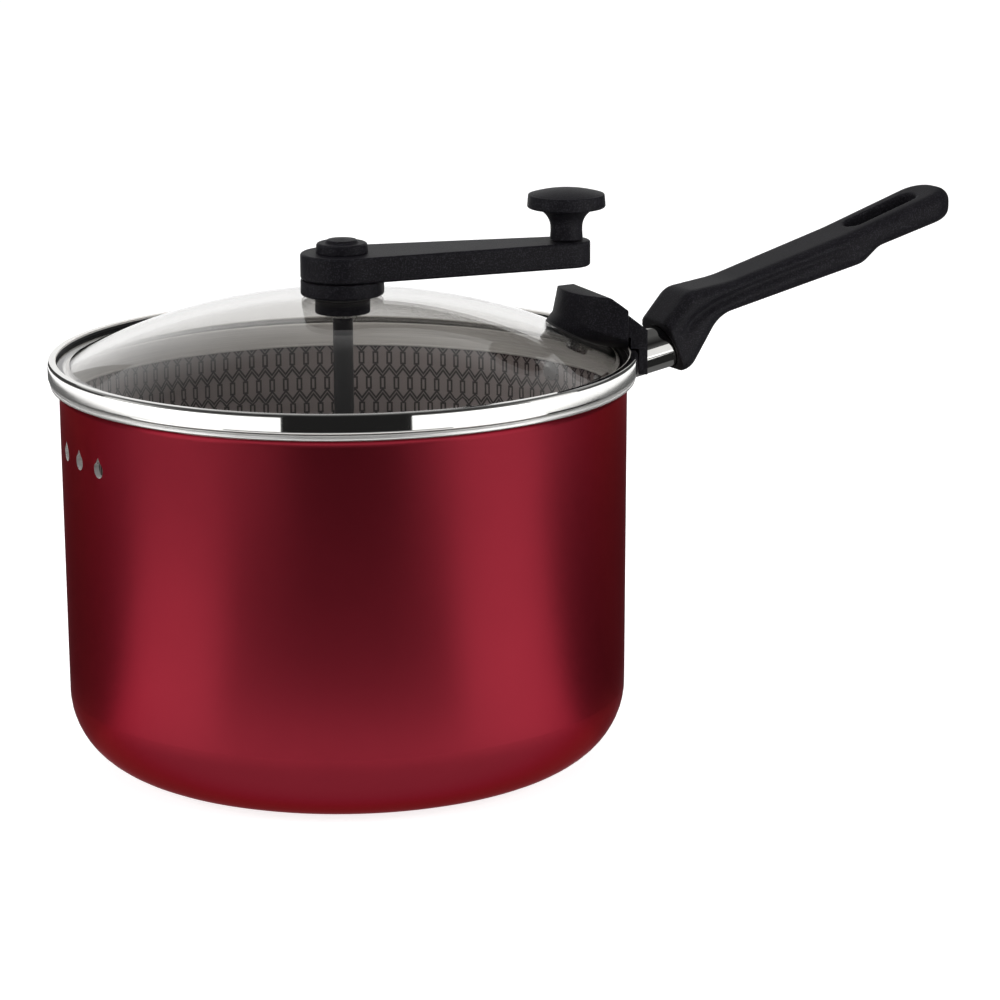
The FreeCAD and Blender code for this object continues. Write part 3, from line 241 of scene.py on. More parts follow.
# %% [markdown]
# ## Polished and plain steel
#
# The handle's ferrule is stainless tube buffed to a mirror. Buffing leaves a faint orange peel
# near 7 mm across, drawn as slow noise in the roughness and, barely, in the bump. The bracket,
# wires and screws are left as drawn: the same metal, duller, with lines near 0.1 mm that are
# drawn at 1.1 mm to show. The rivets and the stirrer's boss are turned aluminium, whose marks
# are near 0.2 mm and are drawn at 1.4 mm.

# %% Metals
def metal(name, colours, roughness, scale, depth):
    """A metal whose colour, roughness and height follow one noise of that scale."""
    stuff, tree, surface = new_material(name)
    place = add(tree, "ShaderNodeTexCoord").outputs["Object"]
    noise = add(tree, "ShaderNodeTexNoise", {
        "Vector": place, "Scale": scale, "Detail": 4.0}).outputs["Fac"]
    rough = add(tree, "ShaderNodeMapRange", {
        "Value": noise, "From Min": 0.3, "From Max": 0.7,
        "To Min": roughness[0], "To Max": roughness[1]})
    tone = add(tree, "ShaderNodeMix", {
        "Factor": noise, "A": linear(colours[0]), "B": linear(colours[1])}, data_type="RGBA")
    bump = add(tree, "ShaderNodeBump", {"Height": noise, "Strength": 0.3, "Distance": depth})
    skin = add(tree, "ShaderNodeBsdfPrincipled", {
        "Base Color": tone.outputs["Result"], "Roughness": rough.outputs["Result"],
        "Normal": bump.outputs["Normal"], "Metallic": 1.0})
    tree.links.new(skin.outputs["BSDF"], surface)
    return stuff


polished_steel = metal("Stainless_steel_mirror_buffed", ("#dcdbd8", "#e6e5e2"),
                       roughness=(0.04, 0.09), scale=140.0, depth=0.000001)
drawn_steel = metal("Stainless_steel_drawn", ("#9c9b99", "#b9b8b6"),
                    roughness=(0.22, 0.36), scale=900.0, depth=0.00003)
bare_aluminium = metal("Aluminium_turned", ("#b4b4b4", "#cfcfcf"),
                       roughness=(0.25, 0.4), scale=700.0, depth=0.00003)
wear(drawn_steel, "handle_bracket", "handle_tang", "grip_screw", "latch_screw", "latch_washer",
     "crank_screw", "shaft_clip", "stirrer_pin", "stirrer_long_wire", "stirrer_short_wire",
     "knob_pin", "pin_washer")
wear(bare_aluminium, "handle_rivets", "stirrer_boss")
print("plain metals on 14 pieces")

# %% [markdown]
# ## The ferrule
#
# A mirror shows every facet as a kink in what it reflects, so the sleeve between pot and grip is
# turned here as one fine surface: its outline, with the pot's end rolled in, is carried round the
# axis in many small steps. The outline closes on itself, so the sleeve has no seam and no pole.

# %% Ferrule
FERRULE_FOOT = np.array([0.1065, 0.0, 0.1311])
FERRULE_SLOPE = math.radians(9.0)
FERRULE_LENGTH, FERRULE_RADIUS, FERRULE_WALL, FERRULE_ROLL = 0.036, 0.0084, 0.0009, 0.0005
SHARP_EDGE = math.radians(40)


def sleeve_outline(roll_points=9):
    """(along, radius) pairs: a quarter circle rolls the foot in, then outside, end and bore."""
    a = np.linspace(0.0, math.pi / 2, roll_points)
    roll = np.column_stack([FERRULE_ROLL * (1 - np.sin(a)),
                            FERRULE_RADIUS - FERRULE_ROLL * (1 - np.cos(a))])
    bore = FERRULE_RADIUS - FERRULE_WALL
    end = [[FERRULE_LENGTH, FERRULE_RADIUS], [FERRULE_LENGTH, bore]]
    return np.vstack([[[0.0, bore]], roll[::-1], end])


def turned(outline, foot, slope, steps=192):
    """foot + along * d + radius * (cos a * side + sin a * upright), on a grid of a and outline."""
    a = np.arange(steps) * 2 * math.pi / steps
    d = np.array([math.cos(slope), 0.0, math.sin(slope)])
    upright = np.array([-math.sin(slope), 0.0, math.cos(slope)])
    round_it = np.cos(a)[:, None] * np.array([0.0, 1.0, 0.0]) + np.sin(a)[:, None] * upright
    points = foot + outline[None, :, :1] * d + outline[None, :, 1:] * round_it[:, None, :]
    rows, columns = len(a), len(outline)
    i, j = np.meshgrid(np.arange(rows), np.arange(columns), indexing="ij")
    next_i, next_j = (i + 1) % rows, (j + 1) % columns
    here, beside = i * columns + j, i * columns + next_j
    across_it, over = next_i * columns + next_j, next_i * columns + j
    return points.reshape(-1, 3), np.stack([over, across_it, beside, here], -1).reshape(-1, 4)


points, quads = turned(sleeve_outline(), FERRULE_FOOT, FERRULE_SLOPE)
corners = points[quads] - points.mean(0)
# The volume inside the quads, as a sum of pyramids: over zero when they face out.
volume = np.einsum("ij,ij->i", corners[:, 0], np.cross(corners[:, 1], corners[:, 2])).sum() / 3
ferrule_mesh = bpy.data.meshes.new("ferrule_sleeve")
ferrule_mesh.from_pydata(points.tolist(), [], quads.tolist())
ferrule_mesh.shade_smooth()
ferrule_mesh.set_sharp_from_angle(angle=SHARP_EDGE)
ferrule_mesh.materials.append(polished_steel)
ferrule = bpy.data.objects.new("ferrule_sleeve", ferrule_mesh)
bpy.context.scene.collection.objects.link(ferrule)
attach(ferrule, "pot")
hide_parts("handle_ferrule")
print("ferrule of", len(quads), "faces,", round(float(volume) * 1e9), "cubic mm of steel")

# %% [markdown]
# ## The band
#
# The band is stainless strip, bright only where the buffing wheel reached it. Its inner face,
# which shows through the glass, keeps the milky skin of the rolled strip with fine lines running
# round it, so it scatters light instead of mirroring the dark pot. The lines are 0.8 mm apart,
# a noise of 33 mm pressed 40 times flatter in height. The facing tells the two sides apart: where
# the normal points at the axis, the spot is inside.

# %% The band's two sides
stuff, tree, surface = new_material("Stainless_strip_buffed_outside_rolled_inside")
place = add(tree, "ShaderNodeTexCoord").outputs["Object"]
facing = add(tree, "ShaderNodeNewGeometry").outputs["True Normal"]
from_axis = add(tree, "ShaderNodeVectorMath", {
    0: place, 1: (1.0, 1.0, 0.0)}, operation="MULTIPLY").outputs[0]
out_lean = add(tree, "ShaderNodeVectorMath", {
    0: facing, 1: from_axis}, operation="DOT_PRODUCT").outputs["Value"]
inward = add(tree, "ShaderNodeMath", {0: out_lean, 1: 0.0}, operation="LESS_THAN").outputs[0]
slow = add(tree, "ShaderNodeTexNoise", {
    "Vector": place, "Scale": 60.0, "Detail": 3.0}).outputs["Fac"]
buffed_rough = add(tree, "ShaderNodeMapRange", {"Value": slow, "To Min": 0.03, "To Max": 0.07})
buffed_tone = add(tree, "ShaderNodeMix", {
    "Factor": slow, "A": linear("#e2e1de"), "B": linear("#ecebe8")}, data_type="RGBA")
buffed = add(tree, "ShaderNodeBsdfPrincipled", {
    "Base Color": buffed_tone.outputs["Result"], "Roughness": buffed_rough.outputs["Result"],
    "Metallic": 1.0})
strip = add(tree, "ShaderNodeMapping", {"Vector": place, "Scale": (1.0, 1.0, 40.0)})
lines = add(tree, "ShaderNodeTexNoise", {
    "Vector": strip.outputs["Vector"], "Scale": 30.0, "Detail": 4.0}).outputs["Fac"]
rolled_tone = add(tree, "ShaderNodeMix", {
    "Factor": lines, "A": linear("#bbb8b3"), "B": linear("#f6f3ee")}, data_type="RGBA")
rolled = add(tree, "ShaderNodeBsdfPrincipled", {
    "Base Color": rolled_tone.outputs["Result"], "Roughness": 0.5, "Metallic": 0.08})
skin = add(tree, "ShaderNodeMixShader", {0: inward, 1: buffed.outputs[0], 2: rolled.outputs[0]})
tree.links.new(skin.outputs[0], surface)
wear(stuff, "lid_band")
print("the band wears", stuff.name)

# %% [markdown]
# ## Black baked coat
#
# The shaft and the washer under the glass are steel with a black baked coat, so that nothing
# bright shows in the pot. It is a thin paint: smoother than the phenolic, with a soft shine and
# a peel near 1.4 mm across.

# %% Black baked coat
stuff, tree, surface = new_material("Steel_black_baked_coat")
place = add(tree, "ShaderNodeTexCoord").outputs["Object"]
peel = add(tree, "ShaderNodeTexNoise", {
    "Vector": place, "Scale": 700.0, "Detail": 3.0}).outputs["Fac"]
tone = add(tree, "ShaderNodeMix", {
    "Factor": peel, "A": linear("#0d0d0f"), "B": linear("#161618")}, data_type="RGBA")
rough = add(tree, "ShaderNodeMapRange", {"Value": peel, "To Min": 0.28, "To Max": 0.4})
bump = add(tree, "ShaderNodeBump", {"Height": peel, "Strength": 0.15, "Distance": 0.00005})
skin = add(tree, "ShaderNodeBsdfPrincipled", {
    "Base Color": tone.outputs["Result"], "Roughness": rough.outputs["Result"],
    "Normal": bump.outputs["Normal"], "IOR": 1.5})
tree.links.new(skin.outputs["BSDF"], surface)
wear(stuff, "stirrer_shaft", "hub_washer")
print("black coat on two pieces")

# %% [markdown]
# ## Silicone
#
# The gasket, the grommet and the latch's pad are moulded silicone: a soft matt rubber with a
# slight bloom in patches of 2.5 mm, so the roughness is high and a little sheen lifts the edges.

# %% Silicone
stuff, tree, surface = new_material("Silicone_moulded_matt")
place = add(tree, "ShaderNodeTexCoord").outputs["Object"]
bloom = add(tree, "ShaderNodeTexNoise", {
    "Vector": place, "Scale": 400.0, "Detail": 3.0}).outputs["Fac"]
tone = add(tree, "ShaderNodeMix", {
    "Factor": bloom, "A": linear("#1b1b1c"), "B": linear("#2a2a2b")}, data_type="RGBA")
bump = add(tree, "ShaderNodeBump", {"Height": bloom, "Strength": 0.2, "Distance": 0.0001})
skin = add(tree, "ShaderNodeBsdfPrincipled", {
    "Base Color": tone.outputs["Result"], "Roughness": 0.6, "Normal": bump.outputs["Normal"],
    "IOR": 1.41, "Sheen Weight": 0.1})
tree.links.new(skin.outputs["BSDF"], surface)
wear(stuff, "lid_gasket", "hub_grommet", "latch_pad")
print("silicone on three pieces")

# %% [markdown]
# ## The pot: one drawn shell, four finishes
#
# The shell is a single piece of aluminium. Its outside has a red satin coat, its inside a
# patterned non-stick coat, its lip and the cut edges of the vents are bare and bright, and its
# underside is turned on a lathe. Which finish a spot has follows from where it is and which way
# its surface faces, so the graph first works out both: height, radius and turn of the spot, and
# how far its normal leans outward and rises upward.

# %% Where a spot of the pot is, and which way it faces
stuff, pot, pot_surface = new_material("Aluminium_drawn_red_satin_coat_and_non_stick")
place = add(pot, "ShaderNodeTexCoord").outputs["Object"]
facing = add(pot, "ShaderNodeNewGeometry").outputs["True Normal"]
axes = add(pot, "ShaderNodeSeparateXYZ", {"Vector": place})
flat = add(pot, "ShaderNodeVectorMath", {
    0: place, 1: (1.0, 1.0, 0.0)}, operation="MULTIPLY").outputs[0]
radius = add(pot, "ShaderNodeVectorMath", {0: flat}, operation="LENGTH").outputs["Value"]
outward = add(pot, "ShaderNodeVectorMath", {0: flat}, operation="NORMALIZE").outputs[0]
lean = add(pot, "ShaderNodeVectorMath", {
    0: facing, 1: outward}, operation="DOT_PRODUCT").outputs["Value"]
rise = add(pot, "ShaderNodeSeparateXYZ", {"Vector": facing}).outputs["Z"]
known = {"x": axes.outputs["X"], "y": axes.outputs["Y"], "height": axes.outputs["Z"],
         "radius": radius, "lean": lean, "rise": rise}
print("the pot's graph knows", ", ".join(known))

# %% [markdown]
# Sums on these values are written as a table: the name of the result, the operation, and the
# values it takes, each a number or the name of an earlier result. A comparison gives 1 where it
# holds and 0 elsewhere, so a product means "and", and a maximum means "or".

# %% Where each finish lies
CUT_LEAN = 0.6  # the normal of a cut edge leans out or in by less than this
MASKS = [
    # A wall that faces out and a floor that faces down are outside: out minus up is over zero.
    ("out_or_down", "SUBTRACT", "lean", "rise"),
    ("outside", "GREATER_THAN", "out_or_down", 0.0),
    ("beyond", "GREATER_THAN", "radius", LIP_START),
    ("above", "GREATER_THAN", "height", POT_TOP - LIP_DEPTH),
    ("lip", "MAXIMUM", "beyond", "above"),
    # The cut edges of the vents face neither out nor in.
    ("lean_size", "ABSOLUTE", "lean"),
    ("edgewise", "LESS_THAN", "lean_size", CUT_LEAN),
    ("over_vent_foot", "GREATER_THAN", "height", VENT_FOOT),
    ("under_vent_head", "LESS_THAN", "height", VENT_HEAD),
    ("high_edge", "MULTIPLY", "edgewise", "over_vent_foot"),
    ("vent_edge", "MULTIPLY", "high_edge", "under_vent_head"),
    ("bare", "MAXIMUM", "lip", "vent_edge"),
    ("low", "LESS_THAN", "height", BASE_SKIN),
    ("on_base", "LESS_THAN", "radius", BASE_FACE),
    ("underside", "MULTIPLY", "low", "on_base"),
    # On the wall the non-stick print runs round the pot and up.
    ("turn", "ARCTAN2", "y", "x"),
    ("around", "MULTIPLY", "turn", PRINT_RADIUS),
    ("on_wall", "GREATER_THAN", "height", PRINT_TURNS_UP),
]
for name, operation, *terms in MASKS:
    inputs = {i: known.get(term, term) for i, term in enumerate(terms)}
    known[name] = add(pot, "ShaderNodeMath", inputs, operation=operation).outputs[0]
print("masks: outside, bare, underside, wall")

# %% [markdown]
# ### Red satin coat
#
# The coat is a clear red lacquer over blasted aluminium, so the metal still shines through it:
# its highlights are red, not white. The blasted grain is 0.2 mm and is drawn at 0.45 mm, and
# patches near 36 mm across shift the red a little.

# %% Red coat
COAT_GRAIN_SCALE, COAT_PATCH_SCALE = 2200.0, 28.0
grit = add(pot, "ShaderNodeTexNoise", {
    "Vector": place, "Scale": COAT_GRAIN_SCALE, "Detail": 2.0}).outputs["Fac"]
patch = add(pot, "ShaderNodeTexNoise", {
    "Vector": place, "Scale": COAT_PATCH_SCALE, "Detail": 2.0}).outputs["Fac"]
red_tone = add(pot, "ShaderNodeMix", {
    "Factor": patch, "A": linear("#862430"), "B": linear("#8f2734")}, data_type="RGBA")
red_rough = add(pot, "ShaderNodeMapRange", {"Value": grit, "To Min": 0.3, "To Max": 0.4})
red_bump = add(pot, "ShaderNodeBump", {"Height": grit, "Strength": 0.25, "Distance": 0.00005})
red = add(pot, "ShaderNodeBsdfPrincipled", {
    "Base Color": red_tone.outputs["Result"], "Roughness": red_rough.outputs["Result"],
    "Normal": red_bump.outputs["Normal"], "Metallic": 0.92, "Specular Tint": linear("#b8707a")})
print("red coat, grain drawn at", round(1000 / COAT_GRAIN_SCALE, 2), "mm")

# %% [markdown]
# ### Non-stick coat
#
# The inside is sprayed grey and printed with a small dark figure before the clear top coat. The
# figure here is a plain one: rows of narrow upright frames, each row set off by half a step,
# with a double zigzag between the rows. The step is 5.4 mm and the rows are 10.2 mm apart. On the
# wall the figure follows the turn and the height, and on the floor it lies flat.

# %% The sheet on which the figure is printed
wall_sheet = add(pot, "ShaderNodeCombineXYZ", {
    "X": known["around"], "Y": known["height"]}).outputs[0]
sheet = add(pot, "ShaderNodeMix", {
    "Factor": known["on_wall"], "A": flat, "B": wall_sheet}, data_type="VECTOR").outputs[1]
on_sheet = add(pot, "ShaderNodeSeparateXYZ", {"Vector": sheet})
known["across"], known["along"] = on_sheet.outputs["X"], on_sheet.outputs["Y"]
print("the sheet lies flat below", round(PRINT_TURNS_UP * 1000), "mm and stands above it")

# %% [markdown]
# A frame's outline is where the larger of two distances, across and along, is zero: the edge of
# a box. A zigzag is a ping-pong of the distance across, and two of them run side by side. The ink
# lies where the nearest of these lines is closer than half a stroke.

# %% The figure
STEP, ROW, HALF_STROKE = 0.0054, 0.0102, 0.00036
FRAME_HALF_WIDTH, FRAME_HALF_HEIGHT = 0.0008, 0.0022
ZIGZAG_SLOPE = 1.3
PAIR = 0.00085  # each zigzag of a pair is this far from their middle
SLANT = 0.6  # the distance to a slanting line, as a share of the distance along
FIGURE = [
    # Across: every other row is set off by half a step, and a frame stands in the middle.
    ("row", "DIVIDE", "along", ROW),
    ("whole_row", "FLOOR", "row"),
    ("odd_row", "FLOORED_MODULO", "whole_row", 2.0),
    ("row_shift", "MULTIPLY", "odd_row", STEP / 2),
    ("shifted", "ADD", "across", "row_shift"),
    ("pinged", "PINGPONG", "shifted", STEP / 2),
    ("from_middle", "SUBTRACT", "pinged", STEP / 2),
    ("middle_distance", "ABSOLUTE", "from_middle"),
    ("past_side", "SUBTRACT", "middle_distance", FRAME_HALF_WIDTH),
    # Along: how far the spot is past the frame's end, and so from the frame's line.
    ("in_row", "FLOORED_MODULO", "along", ROW),
    ("from_row", "SUBTRACT", "in_row", ROW / 2),
    ("row_distance", "ABSOLUTE", "from_row"),
    ("past_end", "SUBTRACT", "row_distance", FRAME_HALF_HEIGHT),
    ("frame_edge", "MAXIMUM", "past_side", "past_end"),
    ("frame_line", "ABSOLUTE", "frame_edge"),
    # Between the rows: a zigzag that climbs and falls over a step, set off likewise.
    ("half_row_on", "ADD", "row", 0.5),
    ("whole_edge", "FLOOR", "half_row_on"),
    ("odd_edge", "FLOORED_MODULO", "whole_edge", 2.0),
    ("edge_shift", "MULTIPLY", "odd_edge", STEP / 2),
    ("edge_across", "ADD", "across", "edge_shift"),
    ("edge_pinged", "PINGPONG", "edge_across", STEP / 2),
    ("climb", "MULTIPLY", "edge_pinged", ZIGZAG_SLOPE),
    ("zigzag", "SUBTRACT", "climb", STEP * ZIGZAG_SLOPE / 4),
    # How far the spot is from the nearer zigzag of the pair.
    ("along_from_edge", "ADD", "along", ROW / 2),
    ("in_edge_row", "FLOORED_MODULO", "along_from_edge", ROW),
    ("from_edge", "SUBTRACT", "in_edge_row", ROW / 2),
    ("from_zigzag", "SUBTRACT", "from_edge", "zigzag"),
    ("zigzag_distance", "ABSOLUTE", "from_zigzag"),
    ("from_pair", "SUBTRACT", "zigzag_distance", PAIR),
    ("pair_distance", "ABSOLUTE", "from_pair"),
    ("pair_line", "MULTIPLY", "pair_distance", SLANT),
    ("nearest_line", "MINIMUM", "frame_line", "pair_line"),
]
for name, operation, *terms in FIGURE:
    inputs = {i: known.get(term, term) for i, term in enumerate(terms)}
    known[name] = add(pot, "ShaderNodeMath", inputs, operation=operation).outputs[0]
ink = add(pot, "ShaderNodeMapRange", {
    "Value": known["nearest_line"], "From Min": HALF_STROKE * 0.7, "From Max": HALF_STROKE * 1.3,
    "To Min": 1.0, "To Max": 0.0}).outputs[0]
print("figure worked out in", len(FIGURE), "steps")

# %% Non-stick coat
SPECK_SCALE = 1500.0  # sprayed specks, drawn at 0.7 mm
speck = add(pot, "ShaderNodeTexNoise", {
    "Vector": place, "Scale": SPECK_SCALE, "Detail": 2.0}).outputs["Fac"]
dark_tone = add(pot, "ShaderNodeMix", {
    "Factor": ink, "A": linear("#a09694"), "B": linear("#3a3535")}, data_type="RGBA")
dark_bump = add(pot, "ShaderNodeBump", {"Height": speck, "Strength": 0.2, "Distance": 0.00005})
dark = add(pot, "ShaderNodeBsdfPrincipled", {
    "Base Color": dark_tone.outputs["Result"], "Roughness": 0.5,
    "Normal": dark_bump.outputs["Normal"], "IOR": 1.4, "Specular IOR Level": 0.35})
print("non-stick: step", round(STEP * 1000, 1), "mm, rows", round(ROW * 1000, 1), "mm")

# %% [markdown]
# ### Bare metal
#
# The lip is rolled and buffed, and the underside keeps the fine rings, 1 mm apart, that the lathe
# leaves. Three mixes then lay the four finishes over each other by the masks.

# %% Bare lip, turned underside and the whole shell
RING_RATE = 6283.0  # radians in a metre of radius: one ring each millimetre
bright_rough = add(pot, "ShaderNodeMapRange", {"Value": patch, "To Min": 0.18, "To Max": 0.3})
bright = add(pot, "ShaderNodeBsdfPrincipled", {
    "Base Color": linear("#e4e3e1"), "Roughness": bright_rough.outputs[0], "Metallic": 0.7})
ring_turn = add(pot, "ShaderNodeMath", {
    0: radius, 1: RING_RATE}, operation="MULTIPLY").outputs[0]
ring = add(pot, "ShaderNodeMath", {0: ring_turn}, operation="SINE").outputs[0]
ring_bump = add(pot, "ShaderNodeBump", {"Height": ring, "Strength": 0.4, "Distance": 0.00005})
lathed_rough = add(pot, "ShaderNodeMapRange", {"Value": speck, "To Min": 0.28, "To Max": 0.4})
lathed = add(pot, "ShaderNodeBsdfPrincipled", {
    "Base Color": linear("#b9b9b8"), "Roughness": lathed_rough.outputs[0],
    "Normal": ring_bump.outputs["Normal"], "Metallic": 1.0})
shell = dark
for mask, over in (("outside", red), ("underside", lathed), ("bare", bright)):
    shell = add(pot, "ShaderNodeMixShader", {
        0: known[mask], 1: shell.outputs[0], 2: over.outputs[0]})
pot.links.new(shell.outputs[0], pot_surface)
wear(stuff, "pot_body")
print("the pot wears", stuff.name)

# %% [markdown]
# ## Tempered glass
#
# The lid is soda-lime glass, pressed and tempered, IOR 1.52, with almost no tint. Light
# has to reach the pot through it, so for shadow rays it counts as clear.

# %% Glass
stuff, tree, surface = new_material("Glass_soda_lime_tempered")
clear = add(tree, "ShaderNodeBsdfPrincipled", {
    "Base Color": linear("#fbfaf8"), "Roughness": 0.0, "IOR": 1.52, "Transmission Weight": 1.0})
opening = add(tree, "ShaderNodeBsdfTransparent", {"Color": linear("#fcfbfa")})
path = add(tree, "ShaderNodeLightPath")
lid = add(tree, "ShaderNodeMixShader", {
    0: path.outputs["Is Shadow Ray"], 1: clear.outputs[0], 2: opening.outputs[0]})
tree.links.new(lid.outputs[0], surface)
wear(stuff, "lid_glass")
print("glass on the lid")

# %% [markdown]
# ## The studio
#
# A white floor and a white world, two tall soft boxes beside the camera and one overhead. The
# lamps light the pieces but don't show in chrome, lacquer or glass. What shows there is the
# world, which is darker overhead and behind the camera, and a set of cards that only reflections
# can see: dark ones in front and at the sides, one white one near the ferrule, and flat ones on
# the floor in several greys. They give the chrome and the satin red their bands, as card does in
# a studio.

# %% Camera
CAMERA_PLACE = (-0.67775, -1.23678, 0.43576)
CAMERA_LOOKS = (0.5005, 0.8330, -0.2360)
CAMERA_ROLL = math.radians(-0.29)
camera = bpy.data.objects.new("camera", bpy.data.cameras.new("camera"))
bpy.context.scene.collection.objects.link(camera)
bpy.context.scene.camera = camera
camera.data.sensor_width = 36.0
camera.data.lens = 144.0
camera.data.dof.use_dof = False
forward = Vector(CAMERA_LOOKS).normalized()
right = forward.cross(Vector((0, 0, 1))).normalized()
up = right.cross(forward)
rolled_right = right * math.cos(CAMERA_ROLL) + up * math.sin(CAMERA_ROLL)
rolled_up = up * math.cos(CAMERA_ROLL) - right * math.sin(CAMERA_ROLL)
camera.matrix_world = Matrix.Translation(CAMERA_PLACE) @ Matrix(
    (rolled_right, rolled_up, -forward)).transposed().to_4x4()
CAMERA_TURN = math.atan2(-forward.y, -forward.x)
print("camera stands at", round(math.degrees(CAMERA_TURN), 1), "degrees round the pot")

# %% [markdown]
# The floor is a middle grey paint to the light that falls on it, and white to whoever looks at
# it. The world does the same: it lights softly and evenly, and it shows plain white to the camera
# and a shaded room to reflections.

# %% Floor
FLOOR_GLOW = 0.8
FLOOR_HALF = 6


def looked_at(tree):
    """The rays a surface is seen by: the light path, and 1 for camera, glossy and glass rays."""
    path = add(tree, "ShaderNodeLightPath")
    seen = add(tree, "ShaderNodeMath", {
        0: path.outputs["Is Camera Ray"], 1: path.outputs["Is Glossy Ray"]}, operation="MAXIMUM")
    seen = add(tree, "ShaderNodeMath", {
        0: seen.outputs[0], 1: path.outputs["Is Transmission Ray"]}, operation="MAXIMUM")
    return path, seen.outputs[0]


stuff, tree, surface = new_material("Studio_floor_white_paint")
path, seen = looked_at(tree)
paint = add(tree, "ShaderNodeBsdfDiffuse", {"Color": (0.5, 0.5, 0.5, 1.0)})
strength = add(tree, "ShaderNodeMath", {0: seen, 1: FLOOR_GLOW}, operation="MULTIPLY").outputs[0]
glow = add(tree, "ShaderNodeEmission", {"Color": (1.0, 1.0, 1.0, 1.0), "Strength": strength})
both = add(tree, "ShaderNodeAddShader", {0: paint.outputs[0], 1: glow.outputs[0]})
tree.links.new(both.outputs[0], surface)
floor_mesh = bpy.data.meshes.new("floor")
floor_mesh.from_pydata(
    [(-FLOOR_HALF, -FLOOR_HALF, 0), (FLOOR_HALF, -FLOOR_HALF, 0),
     (FLOOR_HALF, FLOOR_HALF, 0), (-FLOOR_HALF, FLOOR_HALF, 0)], [], [(0, 1, 2, 3)])
floor_mesh.materials.append(stuff)
floor = bpy.data.objects.new("floor", floor_mesh)
bpy.context.scene.collection.objects.link(floor)
print("floor", 2 * FLOOR_HALF, "m wide")

# %% World
WORLD_LIGHT = 0.45
world = bpy.data.worlds.new("studio")
bpy.context.scene.world = world
world.use_nodes = True
tree = world.node_tree
tree.nodes.clear()
path, seen = looked_at(tree)
direction = add(tree, "ShaderNodeTexCoord").outputs["Generated"]
climb = add(tree, "ShaderNodeSeparateXYZ", {"Vector": direction}).outputs["Z"]
# Overhead, where the direction climbs, reflections see down to a tenth of the white.
ceiling = add(tree, "ShaderNodeMapRange", {
    "Value": climb, "From Min": 0.2, "From Max": 0.68, "To Min": 1.0, "To Max": 0.1})
# Behind the camera they see 0.15 of it.
behind = add(tree, "ShaderNodeVectorMath", {
    0: direction, 1: (math.cos(CAMERA_TURN), math.sin(CAMERA_TURN), 0.0)},
    operation="DOT_PRODUCT").outputs["Value"]
room = add(tree, "ShaderNodeMapRange", {
    "Value": behind, "From Min": -0.1, "From Max": 0.35, "To Min": 1.0, "To Max": 0.15})
round_about = add(tree, "ShaderNodeMath", {
    0: ceiling.outputs[0], 1: room.outputs[0]}, operation="MULTIPLY")
backdrop = add(tree, "ShaderNodeMix", {
    "Factor": path.outputs["Is Camera Ray"], "A": round_about.outputs[0], "B": 1.0},
    data_type="FLOAT")
level = add(tree, "ShaderNodeMix", {
    "Factor": seen, "A": WORLD_LIGHT, "B": backdrop.outputs[0]}, data_type="FLOAT")
sky = add(tree, "ShaderNodeBackground", {
    "Color": (1.0, 1.0, 1.0, 1.0), "Strength": level.outputs[0]})
add(tree, "ShaderNodeOutputWorld", {"Surface": sky.outputs[0]})
print("world is white to the camera")


# %% Soft boxes
def round_the_pot(turn_from_camera, distance, height):
    """A place at that turn from the camera's side, measured anticlockwise from above."""
    a = CAMERA_TURN + math.radians(turn_from_camera)
    return Vector((distance * math.cos(a), distance * math.sin(a), height))


def lamp(name, place, target, size, power):
    """A soft box: a rectangular area lamp that looks at the target and doesn't show."""
    box = bpy.data.objects.new(name, bpy.data.lights.new(name, "AREA"))
    bpy.context.scene.collection.objects.link(box)
    box.data.shape = "RECTANGLE"
    box.data.size, box.data.size_y = size
    box.data.energy = power
    box.location = place
    box.rotation_euler = (Vector(target) - place).to_track_quat("-Z", "Y").to_euler()
    box.visible_glossy = False
    box.visible_transmission = False


lamp("soft_box_left", round_the_pot(-64, 1.1, 0.32), (0, 0, 0.06), (0.75, 1.0), 12.0)
lamp("soft_box_right", round_the_pot(62, 1.1, 0.32), (0, 0, 0.06), (0.75, 1.0), 12.0)
lamp("soft_box_above", Vector((0.0, 0.3, 1.5)), (0, 0, 0.1), (1.2, 1.2), 13.5)
print("three soft boxes")


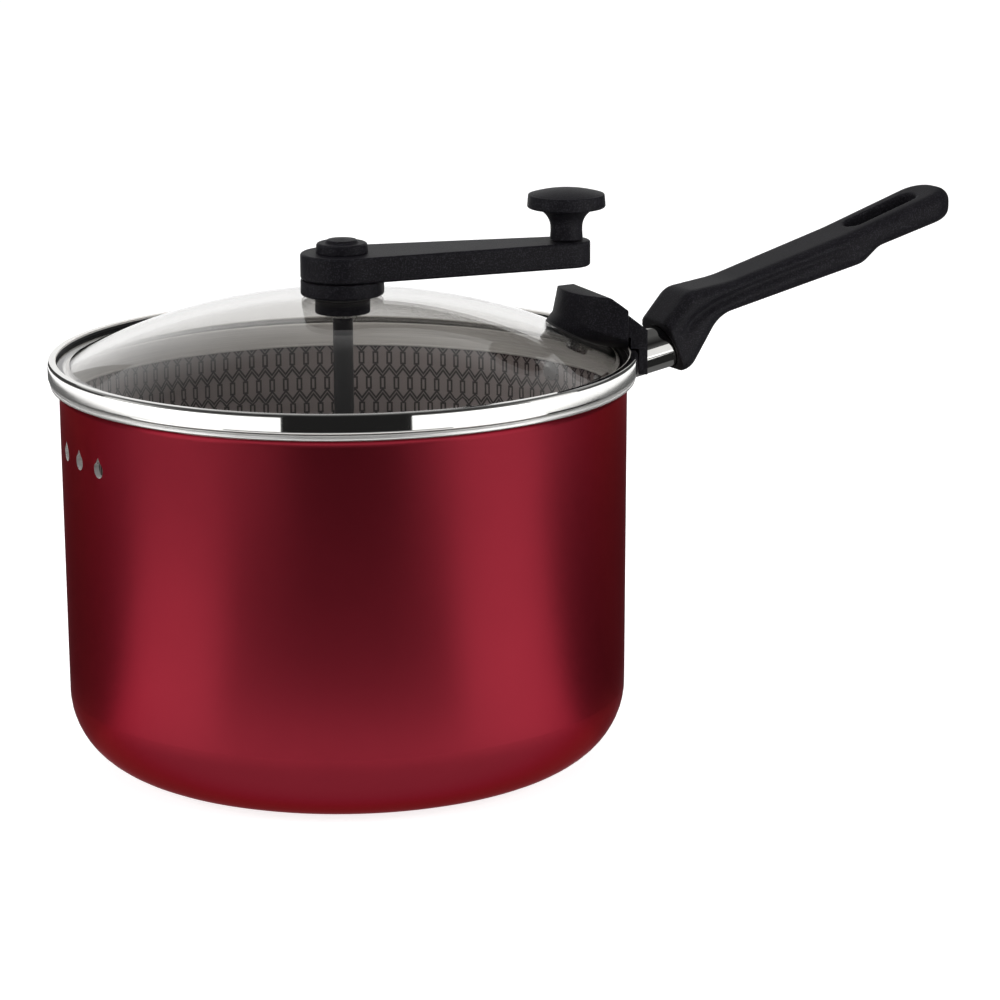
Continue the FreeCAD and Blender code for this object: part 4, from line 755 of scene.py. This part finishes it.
# %% Cards that only reflections see
def card(name, turns, near, far, shade, columns=49):
    """A curved card over those turns from the camera, between two arcs (radius, height)."""
    a = CAMERA_TURN + np.radians(np.linspace(turns[0], turns[1], columns))
    arc = np.column_stack([np.cos(a), np.sin(a)])
    rows = [np.column_stack([arc * r, np.full(columns, z)]) for r, z in (near, far)]
    i = np.arange(columns - 1)
    quads = np.stack([i, i + 1, i + 1 + columns, i + columns], 1)
    mesh = bpy.data.meshes.new(name)
    mesh.from_pydata(np.concatenate(rows).tolist(), [], quads.tolist())
    stuff, tree, surface = new_material(name + "_card")
    grey = add(tree, "ShaderNodeEmission", {"Color": (shade, shade, shade, 1.0)})
    tree.links.new(grey.outputs[0], surface)
    mesh.materials.append(stuff)
    made = bpy.data.objects.new(name, mesh)
    bpy.context.scene.collection.objects.link(made)
    made.visible_camera = False
    made.visible_diffuse = False
    made.visible_transmission = False
    made.visible_shadow = False


MAT = 0.0015  # height of a mat over the floor
FOOT_NEAR, FOOT_FAR = (0.08, 0.0005), (0.155, MAT)  # the ring of mats round the pot's foot
EDGE = 0.72  # radius at which the wide mats end
CARDS = [
    ("flag_front", (-19, 25), (0.46, 0.0), (0.46, 0.45), 0.015),
    ("flag_left", (-150, -92), (0.5, 0.075), (0.5, 0.4), 0.055),
    ("flag_right", (92, 150), (0.5, 0.075), (0.5, 0.4), 0.075),
    ("bounce_by_the_ferrule", (68, 90), (0.38, 0.09), (0.38, 0.25), 1.0),
    ("mat_by_the_foot", (-80, 80), FOOT_NEAR, FOOT_FAR, 0.7),
    ("mat_by_the_left_foot", (-110, -80), FOOT_NEAR, FOOT_FAR, 0.45),
    ("mat_by_the_right_foot", (80, 110), FOOT_NEAR, FOOT_FAR, 0.45),
    ("mat_by_the_far_foot", (110, 250), FOOT_NEAR, FOOT_FAR, 0.3),
    ("mat_before_the_pot", (-40, 40), (0.21, MAT), (EDGE, MAT), 0.26),
    ("mat_at_the_left", (-80, -40), (0.46, MAT), (EDGE, MAT), 0.08),
    ("mat_at_the_right", (40, 80), (0.46, MAT), (0.57, MAT), 0.3),
    ("mat_below_the_handle", (80, 112), (0.155, MAT), (EDGE, MAT), 0.02),
    ("mat_behind_the_pot", (112, 280), (0.155, MAT), (EDGE, MAT), 0.13),
    ("mat_before_the_sweep", (-100, 100), (1.2, MAT), (4.0, MAT), 0.05),
]
for row in CARDS:
    card(*row)
bpy.context.scene.view_settings.view_transform = "Standard"
print(len(CARDS), "cards")
